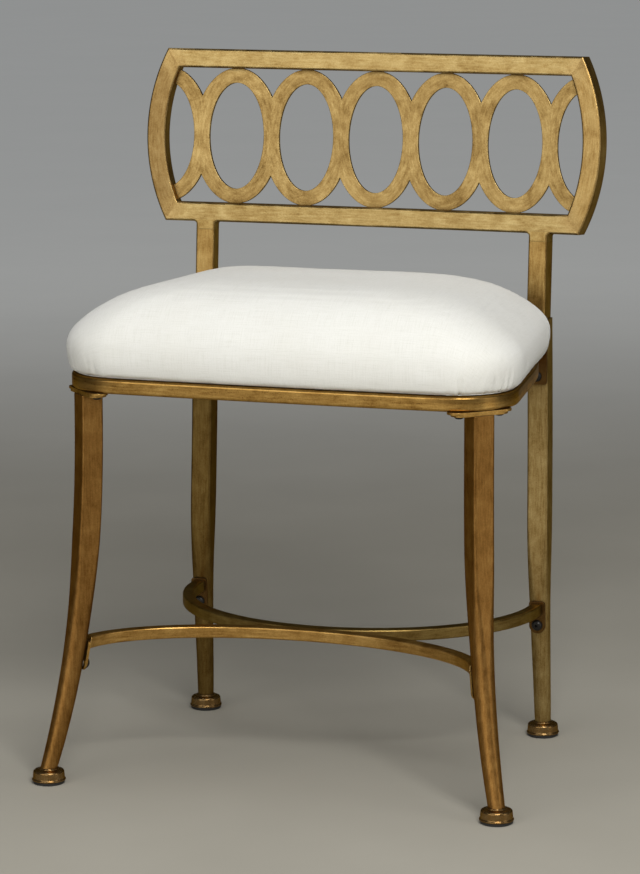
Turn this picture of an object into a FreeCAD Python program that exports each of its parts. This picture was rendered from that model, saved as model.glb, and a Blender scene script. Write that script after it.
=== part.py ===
import FreeCAD, Part
import math
import os

os.makedirs("parts", exist_ok=True)
V = FreeCAD.Vector

# ---------------------------------------------------------------------------
# Vanity stool: welded tubular-steel frame with a low curved fretwork back,
# four legs that change from square to round, two bowed stretchers welded back
# to back, and an upholstered linen seat pad on a bent-tube seat ring.
# Millimetres, +Z up, front of the seat towards -Y, floor at Z = 0.
# All geometry is laid out about the middle of the four feet and is then moved
# by ORIGIN_SHIFT_Y, so that the origin is the middle of the footprint box.
# ---------------------------------------------------------------------------
ORIGIN_SHIFT_Y = -11.09

# tube sizes
TUBE = 20.0            # square tube of the back and its posts
TUBE_R = 2.0           # outside corner radius of that tube
WALL = 1.5             # its wall
FRONT_LEG = 22.6       # square tube of the front legs
FRONT_LEG_R = 2.3
REAR_LEG = 22.0        # square tube of the rear legs
REAR_LEG_R = 2.2

# back frame, measured in its own leaning plane
LEAN_DEG = 4.5         # backward lean of the back
BACK_R = 2200.0        # plan radius of the gently curved back
BACK_Y = 169.73        # depth of the posts' axes at height BACK_Z
BACK_Z = 520.0
BACK_LOW = 10.2        # underside of the bottom rail, up the lean from BACK_Z
BACK_HIGH = 191.6      # top of the top rail, up the lean from BACK_Z
BACK_CORNER_S = 227.0  # outer corners, half width along the curve
BACK_END_S = 248.6     # middle of the bowed ends, half width along the curve
POST_X = 182.6         # posts, half spacing
POST_BOTTOM_Z = 443.0  # joint of post and rear leg

# fretwork of overlapping ovals
FRET_T = 4.0
OVAL_PITCH = 76.2
OVAL_IN_A, OVAL_IN_B = 29.7, 55.6     # half width and half height, inner edge
OVAL_OUT_A, OVAL_OUT_B = 46.4, 71.2   # the same, outer edge

# legs
REAR_TOP_X, REAR_FOOT_X, REAR_Y = 183.9, 189.0, 163.4
REAR_BEND = (  # height, drift of the rear leg along Y: a slight sabre curve
    (443.0, 0.0), (380.0, 0.0), (340.0, -0.6), (286.0, -2.2), (245.0, -4.1), (203.0, -5.7), (170.0, -5.9),
    (140.0, -4.7), (100.0, -2.2), (57.0, 0.9), (36.0, 2.2), (15.0, 3.4), (0.0, 4.2))
FRONT_TOP_X, FRONT_TOP_Y = 202.3, -119.3
FRONT_SWEEP_X, FRONT_SWEEP_Y = 31.4, -43.7
SWEEP_START_Z, SWEEP_POWER_X, SWEEP_POWER_Y = 389.0, 2.7, 2.05
LEG_END_Z = 15.0

# seat ring
RING_Z0, RING_Z1 = 395.2, 410.2
RING_W = 20.0
RING_WALL = 1.5
RING_R = 60.0          # outer radius of the front corners
RING_CX, RING_CY = 170.0, -83.0
RING_FRONT_R = 5780.0  # the front is very slightly bowed
RING_SIDE_DEG = 8.0    # the sides close in towards the back
RING_BEND_Y = 40.0     # from here back the sides curve gently inwards
RING_BEND_R = 420.0
RING_END_Y = 149.4

# plates under the front corners
PLATE_T = 2.2
CORNER_PLATE_L, LEG_PLATE_L, PLATE_W = 68.0, 60.0, 20.0
PLATE_SCREW_HALF = 22.0

# rear bracket that carries the ring, leg and post
BRACKET_T = 3.0
BRACKET_IN_X = 159.5   # the plate reaches inwards past the leg, behind the ring's end
BRACKET_Z0, BRACKET_Z1 = 376.0, 440.0
REAR_BOLT_Z = (384.6, 429.0)

# stretchers
BAR = 12.0
BAR_R = 1.6
BAR_Z = 140.0
BAR_MEET_Y = -29.0
FRONT_BAR_C, FRONT_BAR_A, FRONT_BAR_B = -150.0, 206.0, 115.3
REAR_BAR_C, REAR_BAR_A, REAR_BAR_B = 138.0, 187.0, 161.3
TAB_T = 2.5
TAB_W = 16.0
FRONT_TAB_L, REAR_TAB_L = 30.0, 34.0
FRONT_TAB_Z, REAR_TAB_Z = 129.0, 131.0   # middles of the tabs
TAB_BOLT = 8.0         # bolt below the middle of the tab

# feet
FOOT_R = 17.0

# seat pad
PAD_Z0 = 410.6
BOARD_Z0, BOARD_Z1 = 412.2, 424.2
PAD_BULGE = 5.88       # widest line beyond the ring, before its shoulder is rounded
PAD_WIDE_Z = 445.76
PAD_CROWN = 56.43
PAD_N, PAD_M = 4.586, 0.927
PAD_SHOULDER = 8       # rounding of the shoulder
PAD_REACH = 190.0      # plan distance from the widest line to the middle
PAD_REAR_Y, PAD_REAR_R = 143.0, 31.0
PAD_CENTRE_Y = -25.0
COVER_T = 1.4
FOAM_GAP = 2.6         # room left for the wadding between foam and cover

LEAN = math.radians(LEAN_DEG)
MADE = {}


def unit(v):
    w = V(v)
    w.normalize()
    return w


def frame_at(origin, xdir, ydir, zdir):
    """Placement whose local axes are the three given directions."""
    m = FreeCAD.Matrix(
        xdir.x, ydir.x, zdir.x, origin.x,
        xdir.y, ydir.y, zdir.y, origin.y,
        xdir.z, ydir.z, zdir.z, origin.z,
        0, 0, 0, 1)
    return FreeCAD.Placement(m)


def rounded_wire(hx, hy, r, origin, xdir, ydir):
    """Closed wire of a rounded rectangle, half sizes hx and hy."""
    r = min(r, hx - 0.12, hy - 0.12)
    k = r * (1 - math.sqrt(0.5))

    def p(a, b):
        return origin + xdir * a + ydir * b

    e = [
        Part.LineSegment(p(-hx + r, -hy), p(hx - r, -hy)).toShape(),
        Part.Arc(p(hx - r, -hy), p(hx - k, -hy + k), p(hx, -hy + r)).toShape(),
        Part.LineSegment(p(hx, -hy + r), p(hx, hy - r)).toShape(),
        Part.Arc(p(hx, hy - r), p(hx - k, hy - k), p(hx - r, hy)).toShape(),
        Part.LineSegment(p(hx - r, hy), p(-hx + r, hy)).toShape(),
        Part.Arc(p(-hx + r, hy), p(-hx + k, hy - k), p(-hx, hy - r)).toShape(),
        Part.LineSegment(p(-hx, hy - r), p(-hx, -hy + r)).toShape(),
        Part.Arc(p(-hx, -hy + r), p(-hx + k, -hy + k), p(-hx + r, -hy)).toShape(),
    ]
    return Part.Wire(e)


def half_space(point, normal, size=900.0):
    """Large box lying on the side of the plane that the normal points to."""
    n = unit(normal)
    a = V(0, 0, 1) if abs(n.z) < 0.9 else V(1, 0, 0)
    x = unit(a.cross(n))
    y = n.cross(x)
    b = Part.makeBox(size, size, size, V(-size / 2, -size / 2, 0))
    b.Placement = frame_at(V(point), x, y, n)
    return b


def mirror_x(shape):
    return shape.mirror(V(0, 0, 0), V(1, 0, 0))


def keep(name, shape):
    """Check a finished piece and remember it under its name."""
    s = shape
    if s.ShapeType == "Compound" and len(s.Solids) == 1:
        s = s.Solids[0]
    for q in s.Solids:
        if not q.isValid() or q.Volume <= 0:
            raise RuntimeError(name + ": a solid is not valid")
    if not s.Solids:
        raise RuntimeError(name + ": no solid")
    MADE[name] = s


def one(shape):
    """The largest solid of a result that should hold just one."""
    return max(shape.Solids, key=lambda q: q.Volume)


def soften(solid, radius, test):
    """Round the edges that pass the test."""
    edges = [e for e in solid.Edges if test(e)]
    return solid.makeFillet(radius, edges)


def stadium(length, width, height, origin, xdir, ydir, zdir):
    """Flat bar with round ends, lying along xdir, rising along zdir."""
    h, r = length / 2 - width / 2, width / 2

    def p(a, b):
        return origin + xdir * a + ydir * b

    w = Part.Wire([
        Part.LineSegment(p(-h, -r), p(h, -r)).toShape(),
        Part.Arc(p(h, -r), p(h + r, 0), p(h, r)).toShape(),
        Part.LineSegment(p(h, r), p(-h, r)).toShape(),
        Part.Arc(p(-h, r), p(-h - r, 0), p(-h, -r)).toShape()])
    return Part.Face(w).extrude(zdir * height)


def button_bolt(origin, axis, head_r, head_h, shank_r, shank_l, socket=True):
    """Round-headed bolt. origin is under the head, axis points out of the head."""
    n = unit(axis)
    a = V(0, 0, 1) if abs(n.z) < 0.9 else V(1, 0, 0)
    x = unit(a.cross(n))
    y = n.cross(x)
    pts = [V(0, 0, 0), V(head_r, 0, 0), V(head_r, 0, 0.5)]
    face_pts = [
        Part.LineSegment(pts[0], pts[1]).toShape(),
        Part.LineSegment(pts[1], pts[2]).toShape(),
        Part.Arc(V(head_r, 0, 0.5), V(head_r * 0.80, 0, head_h * 0.72), V(head_r * 0.40, 0, head_h)).toShape(),
        Part.LineSegment(V(head_r * 0.40, 0, head_h), V(0, 0, head_h)).toShape(),
        Part.LineSegment(V(0, 0, head_h), V(0, 0, 0)).toShape()]
    head = Part.Face(Part.Wire(face_pts)).revolve(V(0, 0, 0), V(0, 0, 1), 360)
    if socket:
        hexa = [V(1.75 * math.cos(math.radians(60 * i)), 1.75 * math.sin(math.radians(60 * i)), head_h * 0.35)
                for i in range(7)]
        tool = Part.Face(Part.makePolygon(hexa)).extrude(V(0, 0, head_h))
        head = head.cut(tool)
    shank = Part.makeCylinder(shank_r, shank_l, V(0, 0, -shank_l), V(0, 0, 1))
    b = one(head.fuse(shank))
    b.Placement = frame_at(V(origin), x, y, n)
    return b


def round_nut(origin, outer_r, height, hole_r):
    """Round weld nut standing on the inner wall of the ring tube."""
    return one(Part.makeCylinder(outer_r, height, origin).cut(
        Part.makeCylinder(hole_r, height + 2, origin - V(0, 0, 1))))


# ---------------------------------------------------------------------------
# 1. Back frame, drawn upright in local axes and then leaned back
# ---------------------------------------------------------------------------
# The local origin is the posts' axis line at BACK_Z, with local +Z up the lean.
# The frame's mid surface is a cylinder of radius BACK_R about a local vertical
# axis in front of the sitter.
MID_Y = BACK_R * (1 - math.cos(math.asin(POST_X / BACK_R)))
AXIS_Y = MID_Y - BACK_R
LEAN_PLACE = FreeCAD.Placement(V(0, BACK_Y, BACK_Z), FreeCAD.Rotation(V(1, 0, 0), -LEAN_DEG))
H = TUBE / 2


def to_back(shape):
    s = shape.copy()
    s.Placement = LEAN_PLACE.multiply(s.Placement)
    return s


def back_point(s, w, depth=0.0):
    """Local point at distance s along the curve, height w, depth behind the mid surface."""
    t = s / BACK_R
    return V((BACK_R + depth) * math.sin(t), AXIS_Y + (BACK_R + depth) * math.cos(t), w)


def curved_rail(w_mid, half, r):
    """Rounded square tube bent to the back's plan radius, over-long."""
    reach = 6.3
    wire = rounded_wire(half, half, r, V(0, MID_Y, w_mid), V(0, 1, 0), V(0, 0, 1))
    face = Part.Face(wire)
    face.rotate(V(0, AXIS_Y, 0), V(0, 0, 1), reach)
    return face.revolve(V(0, AXIS_Y, 0), V(0, 0, 1), -2 * reach)


MID_W = (BACK_LOW + BACK_HIGH) / 2
HALF_H = (BACK_HIGH - BACK_LOW) / 2
SAG = BACK_END_S - BACK_CORNER_S
END_R = (HALF_H ** 2 + SAG ** 2) / (2 * SAG)
END_C = BACK_END_S - END_R
INNER_CORNER_S = END_C + math.sqrt((END_R - TUBE) ** 2 - (HALF_H - TUBE) ** 2)
END_T = (BACK_CORNER_S + 5.0) / BACK_R


def mitre_tools(sign_w):
    """Half spaces either side of the mitre at one right-hand corner."""
    w_out = MID_W + sign_w * HALF_H
    w_in = MID_W + sign_w * (HALF_H - TUBE)
    p_out = back_point(BACK_CORNER_S, w_out)
    p_in = back_point(INNER_CORNER_S, w_in)
    m = unit(p_out - p_in)
    t = BACK_CORNER_S / BACK_R
    radial = V(math.sin(t), math.cos(t), 0)
    n = m.cross(radial)
    # n points towards the rail's side (towards the middle of the back)
    if n.x > 0:
        n = n * -1
    return half_space(p_out, n), half_space(p_out, n * -1)


def end_arc(half, r):
    """Right-hand bowed end, a planar bend in the plane that touches the curve there."""
    t = END_T
    tang = V(math.cos(t), -math.sin(t), 0)
    radial = V(math.sin(t), math.cos(t), 0)
    base = back_point(t * BACK_R, MID_W)
    s0 = t * BACK_R
    c = base + tang * (END_C - s0)
    mid = c + tang * (END_R - H)
    face = Part.Face(rounded_wire(half, half, r, mid, tang, radial))
    face.rotate(c, radial, 29)
    return face.revolve(c, radial, -58)


top_in, top_out = mitre_tools(1)
low_in, low_out = mitre_tools(-1)


def trim_rail(rail, tool):
    r1 = rail.common(tool)
    return one(r1.common(mirror_x(tool)))


outer_top = trim_rail(curved_rail(BACK_HIGH - H, H, TUBE_R), top_in)
inner_top = trim_rail(curved_rail(BACK_HIGH - H, H - WALL, 0.8), top_in)
outer_low = trim_rail(curved_rail(BACK_LOW + H, H, TUBE_R), low_in)
inner_low = trim_rail(curved_rail(BACK_LOW + H, H - WALL, 0.8), low_in)
outer_end = one(end_arc(H, TUBE_R).common(top_out).common(low_out))
inner_end = one(end_arc(H - WALL, 0.8).common(top_out).common(low_out))

keep("back_top_rail", to_back(one(outer_top.cut(inner_top))))
keep("back_bottom_rail", to_back(one(outer_low.cut(inner_low))))
end_right = one(outer_end.cut(inner_end))
keep("back_end_right", to_back(end_right))
keep("back_end_left", to_back(mirror_x(end_right)))


# fretwork panel: seven overlapping oval rings cut in one curved plate
def oval(a, b, s):
    x = BACK_R * math.sin(s / BACK_R)
    e = Part.Ellipse(V(0, 0, 0), b, a) if b > a else Part.Ellipse(V(0, 0, 0), a, b)
    w = Part.Wire(e.toShape())
    if b > a:
        w.rotate(V(0, 0, 0), V(0, 0, 1), 90)
    w.rotate(V(0, 0, 0), V(1, 0, 0), 90)
    w.translate(V(x, -60, MID_W))
    return Part.Face(w).extrude(V(0, 140, 0))


shell = Part.makeCylinder(BACK_R + FRET_T / 2, 300, V(0, AXIS_Y, -20), V(0, 0, 1)).cut(
    Part.makeCylinder(BACK_R - FRET_T / 2, 320, V(0, AXIS_Y, -30), V(0, 0, 1)))
slab = Part.makeBox(560, 160, 240, V(-280, -80, -10))
shell = shell.common(slab)
outers = [oval(OVAL_OUT_A, OVAL_OUT_B, i * OVAL_PITCH) for i in range(-3, 4)]
inners = [oval(OVAL_IN_A, OVAL_IN_B, i * OVAL_PITCH) for i in range(-3, 4)]
fret = outers[0].fuse(outers[1:]).common(shell)
fret = fret.cut(inners)
fret = fret.cut([outer_top, outer_low, outer_end, mirror_x(outer_end)])
# drop what lies outside the frame
good = [q for q in fret.Solids if q.Volume > 2000 and abs(q.CenterOfMass.x) < 225]
keep("back_fret_panel", to_back(one(Part.makeCompound(good))))

# posts under the bottom rail, turned with the curve and cut level at the joint
post_t = math.asin(POST_X / BACK_R)
tang = V(math.cos(post_t), -math.sin(post_t), 0)
radial = V(math.sin(post_t), math.cos(post_t), 0)


def post_solid(half, r, low, high):
    o = V(POST_X, 0, low)
    return Part.Face(rounded_wire(half, half, r, o, tang, radial)).extrude(V(0, 0, high - low))


POST_LOW = (POST_BOTTOM_Z - BACK_Z) / math.cos(LEAN) - 4
post = to_back(post_solid(H, TUBE_R, POST_LOW, BACK_LOW))
post_bore = to_back(post_solid(H - WALL, 0.8, POST_LOW - 2, BACK_LOW + 1))
post = one(post.cut(post_bore).common(half_space(V(0, 0, POST_BOTTOM_Z), V(0, 0, 1))))
keep("back_post_right", post)
keep("back_post_left", mirror_x(post))


# ---------------------------------------------------------------------------
# 2. Legs: square tube at the top, drawn down to a slim round end
# ---------------------------------------------------------------------------
def rear_drift(z):
    """Smooth curve through REAR_BEND."""
    t = REAR_BEND
    i = max(k for k in range(len(t) - 1) if t[k][0] >= z or k == 0)
    (z0, d0), (z1, d1) = t[i], t[i + 1]

    def slope(k):
        if k <= 0 or k >= len(t) - 1:
            return 0.0
        return (t[k + 1][1] - t[k - 1][1]) / (t[k + 1][0] - t[k - 1][0])
    u, h = (z - z0) / (z1 - z0), z1 - z0
    return ((2 * u ** 3 - 3 * u ** 2 + 1) * d0 + (u ** 3 - 2 * u ** 2 + u) * h * slope(i)
            + (3 * u ** 2 - 2 * u ** 3) * d1 + (u ** 3 - u ** 2) * h * slope(i + 1))


def rear_axis(z):
    k = (POST_BOTTOM_Z - z) / (POST_BOTTOM_Z - LEG_END_Z)
    return V(REAR_TOP_X + (REAR_FOOT_X - REAR_TOP_X) * k, REAR_Y + rear_drift(z), z)


RH = REAR_LEG / 2
REAR_SECTIONS = [  # height, half size, corner radius
    (376.0, 11.0, 2.2), (340.0, 11.0, 2.2), (300.0, 11.0, 2.2), (262.0, 11.0, 2.2), (230.0, 11.0, 2.4),
    (208.0, 11.0, 3.6), (188.0, 10.98, 5.6), (168.0, 10.9, 7.9), (146.0, 10.7, 9.7), (125.0, 10.4, 10.3),
    (100.0, 9.95, 9.9), (78.0, 9.5, 9.5), (54.0, 9.1, 9.1), (32.0, 8.75, 8.75), (LEG_END_Z, 8.4, 8.4)]


def rear_half(z):
    for (z0, a0, r0), (z1, a1, r1) in zip(REAR_SECTIONS, REAR_SECTIONS[1:]):
        if z0 >= z >= z1:
            return a0 + (a1 - a0) * (z - z0) / (z1 - z0)
    return RH


def rear_leg(grow):
    top = [rounded_wire(RH + grow, RH + grow, max(REAR_LEG_R + grow, 0.6), rear_axis(z), V(1, 0, 0), V(0, 1, 0))
           for z in (POST_BOTTOM_Z + (1 if grow else 0), 376.0)]
    low = []
    for z, a, r in REAR_SECTIONS:
        zz = z - (1 if (grow and z == LEG_END_Z) else 0)
        low.append(rounded_wire(a + grow, a + grow, max(r + grow, 0.6), rear_axis(zz), V(1, 0, 0), V(0, 1, 0)))
    upper = Part.makeLoft(top, True, True)
    lower = Part.makeLoft(low, True, False)
    return one(upper.fuse(lower))


leg_r = one(rear_leg(0).cut(rear_leg(-WALL)))


def front_axis(z):
    t = max(0.0, (SWEEP_START_Z - z) / (SWEEP_START_Z - LEG_END_Z))
    return V(FRONT_TOP_X + FRONT_SWEEP_X * t ** SWEEP_POWER_X, FRONT_TOP_Y + FRONT_SWEEP_Y * t ** SWEEP_POWER_Y, z)


DIAG = unit(V(1, -1, 0))


def front_frame(z):
    """Axis point, inward diagonal, cross direction and upward tangent of the front leg."""
    d = 0.5
    t = unit(front_axis(z + d) - front_axis(z - d))
    inward = DIAG * -1
    e1 = unit(inward - t * inward.dot(t))
    e2 = t.cross(e1)
    return front_axis(z), e1, e2, t


FRONT_TOP_Z = RING_Z0 - 2 * PLATE_T
K = FRONT_LEG / 22.0
FRONT_SECTIONS = [(z, a * K, r * K) for z, a, r in (
    (372.0, 11.0, 2.2), (345.0, 11.0, 2.2), (318.0, 11.0, 2.2), (290.0, 11.0, 2.2), (262.0, 11.0, 2.3), (236.0, 10.95, 3.0),
    (208.0, 10.8, 5.0), (179.0, 10.7, 7.6), (150.0, 10.5, 9.2), (120.0, 10.2, 9.9), (92.0, 9.8, 9.8), (66.0, 9.3, 9.3),
    (40.0, 8.7, 8.7), (18.0, 8.1, 8.1), (2.0, 7.7, 7.7))]


def front_leg(grow):
    low = []
    for z, a, r in [(FRONT_TOP_Z + 1, FRONT_LEG / 2, FRONT_LEG_R)] + FRONT_SECTIONS:
        if z > 375:
            o, e1, e2 = V(FRONT_TOP_X, FRONT_TOP_Y, z), DIAG * -1, V(0, 0, 1).cross(DIAG * -1)
        else:
            o, e1, e2, t = front_frame(z)
        low.append(rounded_wire(a + grow, a + grow, max(r + grow, 0.6), o, e1, e2))
    s = one(Part.makeLoft(low, True, False))
    s = one(s.common(half_space(V(0, 0, LEG_END_Z - (0.5 if grow else 0)), V(0, 0, 1))))
    return s if grow else one(s.common(half_space(V(0, 0, FRONT_TOP_Z), V(0, 0, -1))))


leg_f = one(front_leg(0).cut(front_leg(-WALL)))

# ---------------------------------------------------------------------------
# 3. Stretchers, their end tabs, bolts and threaded inserts
# ---------------------------------------------------------------------------


def half_ellipse_bar(cy, a, b, upper):
    def ell(aa, bb, h, z):
        w = Part.Wire(Part.Ellipse(V(0, 0, 0), aa, bb).toShape())
        w.translate(V(0, cy, z))
        return Part.Face(w).extrude(V(0, 0, h))
    s = ell(a + BAR / 2, b + BAR / 2, BAR, BAR_Z - BAR / 2).cut(
        ell(a - BAR / 2, b - BAR / 2, BAR + 2, BAR_Z - BAR / 2 - 1))
    n = V(0, 1, 0) if upper else V(0, -1, 0)
    s = one(s.common(half_space(V(0, cy, BAR_Z), n)))
    long_edges = lambda e: e.Length > 300
    return one(soften(s, BAR_R, long_edges))


# tab on the inner face of the front leg
o, e1, e2, tdir = front_frame(FRONT_TAB_Z)
tab_face = o + e1 * 10.75
e_up = tdir


def tab(origin, normal, side, up, width, length):
    """Upright plate: origin at the middle of its leg-side face."""
    half, r = length / 2, width / 2

    def p(a, b):
        return origin + side * a + up * b

    k = 2.5
    w = Part.Wire([
        Part.LineSegment(p(-r, half - k), p(-r, -half + r)).toShape(),
        Part.Arc(p(-r, -half + r), p(0, -half), p(r, -half + r)).toShape(),
        Part.LineSegment(p(r, -half + r), p(r, half - k)).toShape(),
        Part.Arc(p(r, half - k), p(r - k * 0.293, half - k * 0.293), p(r - k, half)).toShape(),
        Part.LineSegment(p(r - k, half), p(-r + k, half)).toShape(),
        Part.Arc(p(-r + k, half), p(-r + k * 0.293, half - k * 0.293), p(-r, half - k)).toShape()])
    s = Part.Face(w).extrude(normal * TAB_T)
    c = origin - up * TAB_BOLT - normal * 1
    return one(s.cut(Part.makeCylinder(3.3, TAB_T + 2, c, normal)))


tab_front = tab(tab_face, e1, e2, e_up, TAB_W, FRONT_TAB_L)
tab_outer = tab_face + e1 * TAB_T
front_cut = half_space(tab_outer, e1)
front_bar = half_ellipse_bar(FRONT_BAR_C, FRONT_BAR_A, FRONT_BAR_B, True)
front_bar = front_bar.common(front_cut).common(mirror_x(front_cut))
front_bar = one(front_bar.common(half_space(V(0, BAR_MEET_Y, BAR_Z), V(0, -1, 0))))

# the rear tab lies along the front of the rear leg, which leans slightly there
def rear_front_y(z):
    return rear_axis(z).y - rear_half(z)


r_up = unit(V(0, rear_front_y(REAR_TAB_Z + 17) - rear_front_y(REAR_TAB_Z - 17), 34.0))
r_out = V(1, 0, 0).cross(r_up) * -1
if r_out.y > 0:
    r_out = r_out * -1
tab_rear_o = V(rear_axis(REAR_TAB_Z).x, rear_front_y(REAR_TAB_Z) - 0.35, REAR_TAB_Z)
tab_rear = tab(tab_rear_o, r_out, V(1, 0, 0), r_up, TAB_W + 1, REAR_TAB_L)
rear_cut = half_space(tab_rear_o + r_out * TAB_T, r_out)
rear_bar = half_ellipse_bar(REAR_BAR_C, REAR_BAR_A, REAR_BAR_B, False)
for sx in (1, -1):
    oo = V(sx * REAR_BAR_A, REAR_BAR_C - 0.001, BAR_Z)
    ext = Part.Face(rounded_wire(BAR / 2, BAR / 2, BAR_R, oo, V(1, 0, 0), V(0, 0, 1))).extrude(V(0, 18.0, 0))
    rear_bar = rear_bar.fuse(ext)
rear_bar = one(rear_bar.common(rear_cut).common(half_space(V(0, BAR_MEET_Y, BAR_Z), V(0, 1, 0))))
keep("front_stretcher", front_bar)
keep("rear_stretcher", rear_bar)
keep("stretcher_tab_front_right", tab_front)
keep("stretcher_tab_front_left", mirror_x(tab_front))
keep("stretcher_tab_rear_right", tab_rear)
keep("stretcher_tab_rear_left", mirror_x(tab_rear))

INSERT_R, INSERT_L = 4.4, 6.0
f_bolt = tab_face - e_up * TAB_BOLT
r_bolt = tab_rear_o - r_up * TAB_BOLT
f_hole = Part.makeCylinder(INSERT_R + 0.02, 9.0, f_bolt - e1 * 8.0, e1)
r_hole = Part.makeCylinder(INSERT_R + 0.02, 9.0, r_bolt - r_out * 8.0, r_out)
leg_f = one(leg_f.cut(f_hole))
leg_r = one(leg_r.cut(r_hole))


def insert(origin, axis):
    """Threaded insert: origin on the leg's face, axis pointing out of it."""
    back = origin - axis * INSERT_L
    s = Part.makeCylinder(INSERT_R, INSERT_L - 0.3, back, axis)
    return one(s.cut(Part.makeCylinder(3.05, INSERT_L + 2, back - axis * 1, axis)))


ins_f = insert(f_bolt, e1)
ins_r = insert(r_bolt, r_out)
keep("threaded_inserts", Part.makeCompound([ins_f, mirror_x(ins_f), ins_r, mirror_x(ins_r)]))
bolt_f = button_bolt(f_bolt + e1 * (TAB_T + 0.02), e1, 5.8, 4.4, 3.0, 11.5)
bolt_r = button_bolt(r_bolt + r_out * (TAB_T + 0.02), r_out, 5.8, 3.6, 3.0, 11.5)
keep("stretcher_bolts", Part.makeCompound([bolt_f, mirror_x(bolt_f), bolt_r, mirror_x(bolt_r)]))

# ---------------------------------------------------------------------------
# 4. Seat ring: bent rectangular tube, rear cross rail, straps, corner plates
# ---------------------------------------------------------------------------
SIDE = math.radians(RING_SIDE_DEG)
RFC = V(0, RING_CY + (RING_FRONT_R - RING_R) * math.cos(math.asin(RING_CX / (RING_FRONT_R - RING_R))), 0)
PHI = math.asin(RING_CX / (RING_FRONT_R - RING_R))


SIDE_N = V(math.cos(SIDE), math.sin(SIDE), 0)
SIDE_D = V(-math.sin(SIDE), math.cos(SIDE), 0)


def side_point(y):
    """Outer side of the ring, on the straight part at depth y."""
    base = V(RING_CX, RING_CY, 0) + SIDE_N * RING_R
    return base + SIDE_D * ((y - base.y) / SIDE_D.y)


BEND_C = side_point(RING_BEND_Y) - SIDE_N * RING_BEND_R


def ring_edges(inset, z, y_end):
    """Open path of the ring from the rear left end to the rear right end, and the angle of its ends."""
    def corner(ang):
        return V(RING_CX + (RING_R - inset) * math.cos(ang), RING_CY + (RING_R - inset) * math.sin(ang), z)
    a0, a1 = -math.pi / 2 + PHI, SIDE
    pf, pm, ps = corner(a0), corner((a0 + a1) / 2), corner(a1)
    r = RING_BEND_R - inset
    end = math.asin((y_end - BEND_C.y) / r)

    def bend(ang):
        return V(BEND_C.x + r * math.cos(ang), BEND_C.y + r * math.sin(ang), z)
    pk, pb, pe = bend(SIDE), bend((SIDE + end) / 2), bend(end)

    def m(p):
        return V(-p.x, p.y, p.z)
    front = V(0, RFC.y - (RING_FRONT_R - inset), z)
    return [
        Part.Arc(m(pe), m(pb), m(pk)).toShape(),
        Part.LineSegment(m(pk), m(ps)).toShape(),
        Part.Arc(m(ps), m(pm), m(pf)).toShape(),
        Part.Arc(m(pf), front, pf).toShape(),
        Part.Arc(pf, pm, ps).toShape(),
        Part.LineSegment(ps, pk).toShape(),
        Part.Arc(pk, pb, pe).toShape()], pe, end


RING_ZM = (RING_Z0 + RING_Z1) / 2
RING_H = RING_Z1 - RING_Z0


def ring_solid(shrink, r, y_end):
    edges, pe, ang = ring_edges(RING_W / 2, RING_ZM, y_end)
    path = Part.Wire(edges)
    start = V(-pe.x, pe.y, pe.z)
    across = V(math.cos(ang), -math.sin(ang), 0)
    prof = rounded_wire(RING_W / 2 - shrink, RING_H / 2 - shrink, r, start, across, V(0, 0, 1))
    return Part.Solid(path.makePipeShell([prof], True, False))


ring_outer = ring_solid(0, 3.0, RING_END_Y + 6)
ring_inner = ring_solid(RING_WALL, 1.2, RING_END_Y + 7)
end_cut = half_space(V(0, RING_END_Y, 0), V(0, -1, 0))
ring_full = one(ring_outer.common(end_cut))
ring = one(ring_outer.cut(ring_inner).common(end_cut))

# corner plates and leg plates, square to the corner's diagonal
CROSS = unit(V(1, 1, 0))
plate_o = V(FRONT_TOP_X, FRONT_TOP_Y, 0)
holes = [plate_o + CROSS * PLATE_SCREW_HALF, plate_o - CROSS * PLATE_SCREW_HALF]
PLATE_Y = V(0, 0, 1).cross(CROSS)
corner_plate = stadium(CORNER_PLATE_L, PLATE_W, PLATE_T, plate_o + V(0, 0, RING_Z0 - PLATE_T), CROSS, PLATE_Y, V(0, 0, 1))
leg_plate = stadium(LEG_PLATE_L, PLATE_W, PLATE_T, plate_o + V(0, 0, RING_Z0 - 2 * PLATE_T), CROSS, PLATE_Y, V(0, 0, 1))
screws, nuts = [], []
for h in holes:
    drill = Part.makeCylinder(3.15, 20, V(h.x, h.y, RING_Z0 - 10), V(0, 0, 1))
    corner_plate = corner_plate.cut(drill)
    leg_plate = leg_plate.cut(drill)
    ring = ring.cut(Part.makeCylinder(3.15, 10, V(h.x, h.y, RING_Z0 - 5), V(0, 0, 1)))
    screws.append(button_bolt(V(h.x, h.y, RING_Z0 - 2 * PLATE_T - 0.02), V(0, 0, -1), 5.0, 2.8, 3.0, 14.5))
    nuts.append(round_nut(V(h.x, h.y, RING_Z0 + RING_WALL), 3.9, 5.0, 3.05))
ring = one(ring)
for h in holes:
    hm = V(-h.x, h.y, 0)
    ring = ring.cut(Part.makeCylinder(3.15, 10, V(hm.x, hm.y, RING_Z0 - 5), V(0, 0, 1)))
keep("seat_ring", one(ring))
keep("corner_plate_right", one(corner_plate))
keep("corner_plate_left", mirror_x(one(corner_plate)))
keep("front_leg_plate_right", one(leg_plate))
keep("front_leg_plate_left", mirror_x(one(leg_plate)))
keep("leg_plate_screws", Part.makeCompound(screws + [mirror_x(s) for s in screws]))
keep("ring_weld_nuts", Part.makeCompound(nuts + [mirror_x(s) for s in nuts]))
keep("front_leg_right", leg_f)
keep("front_leg_left", mirror_x(leg_f))

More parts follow.
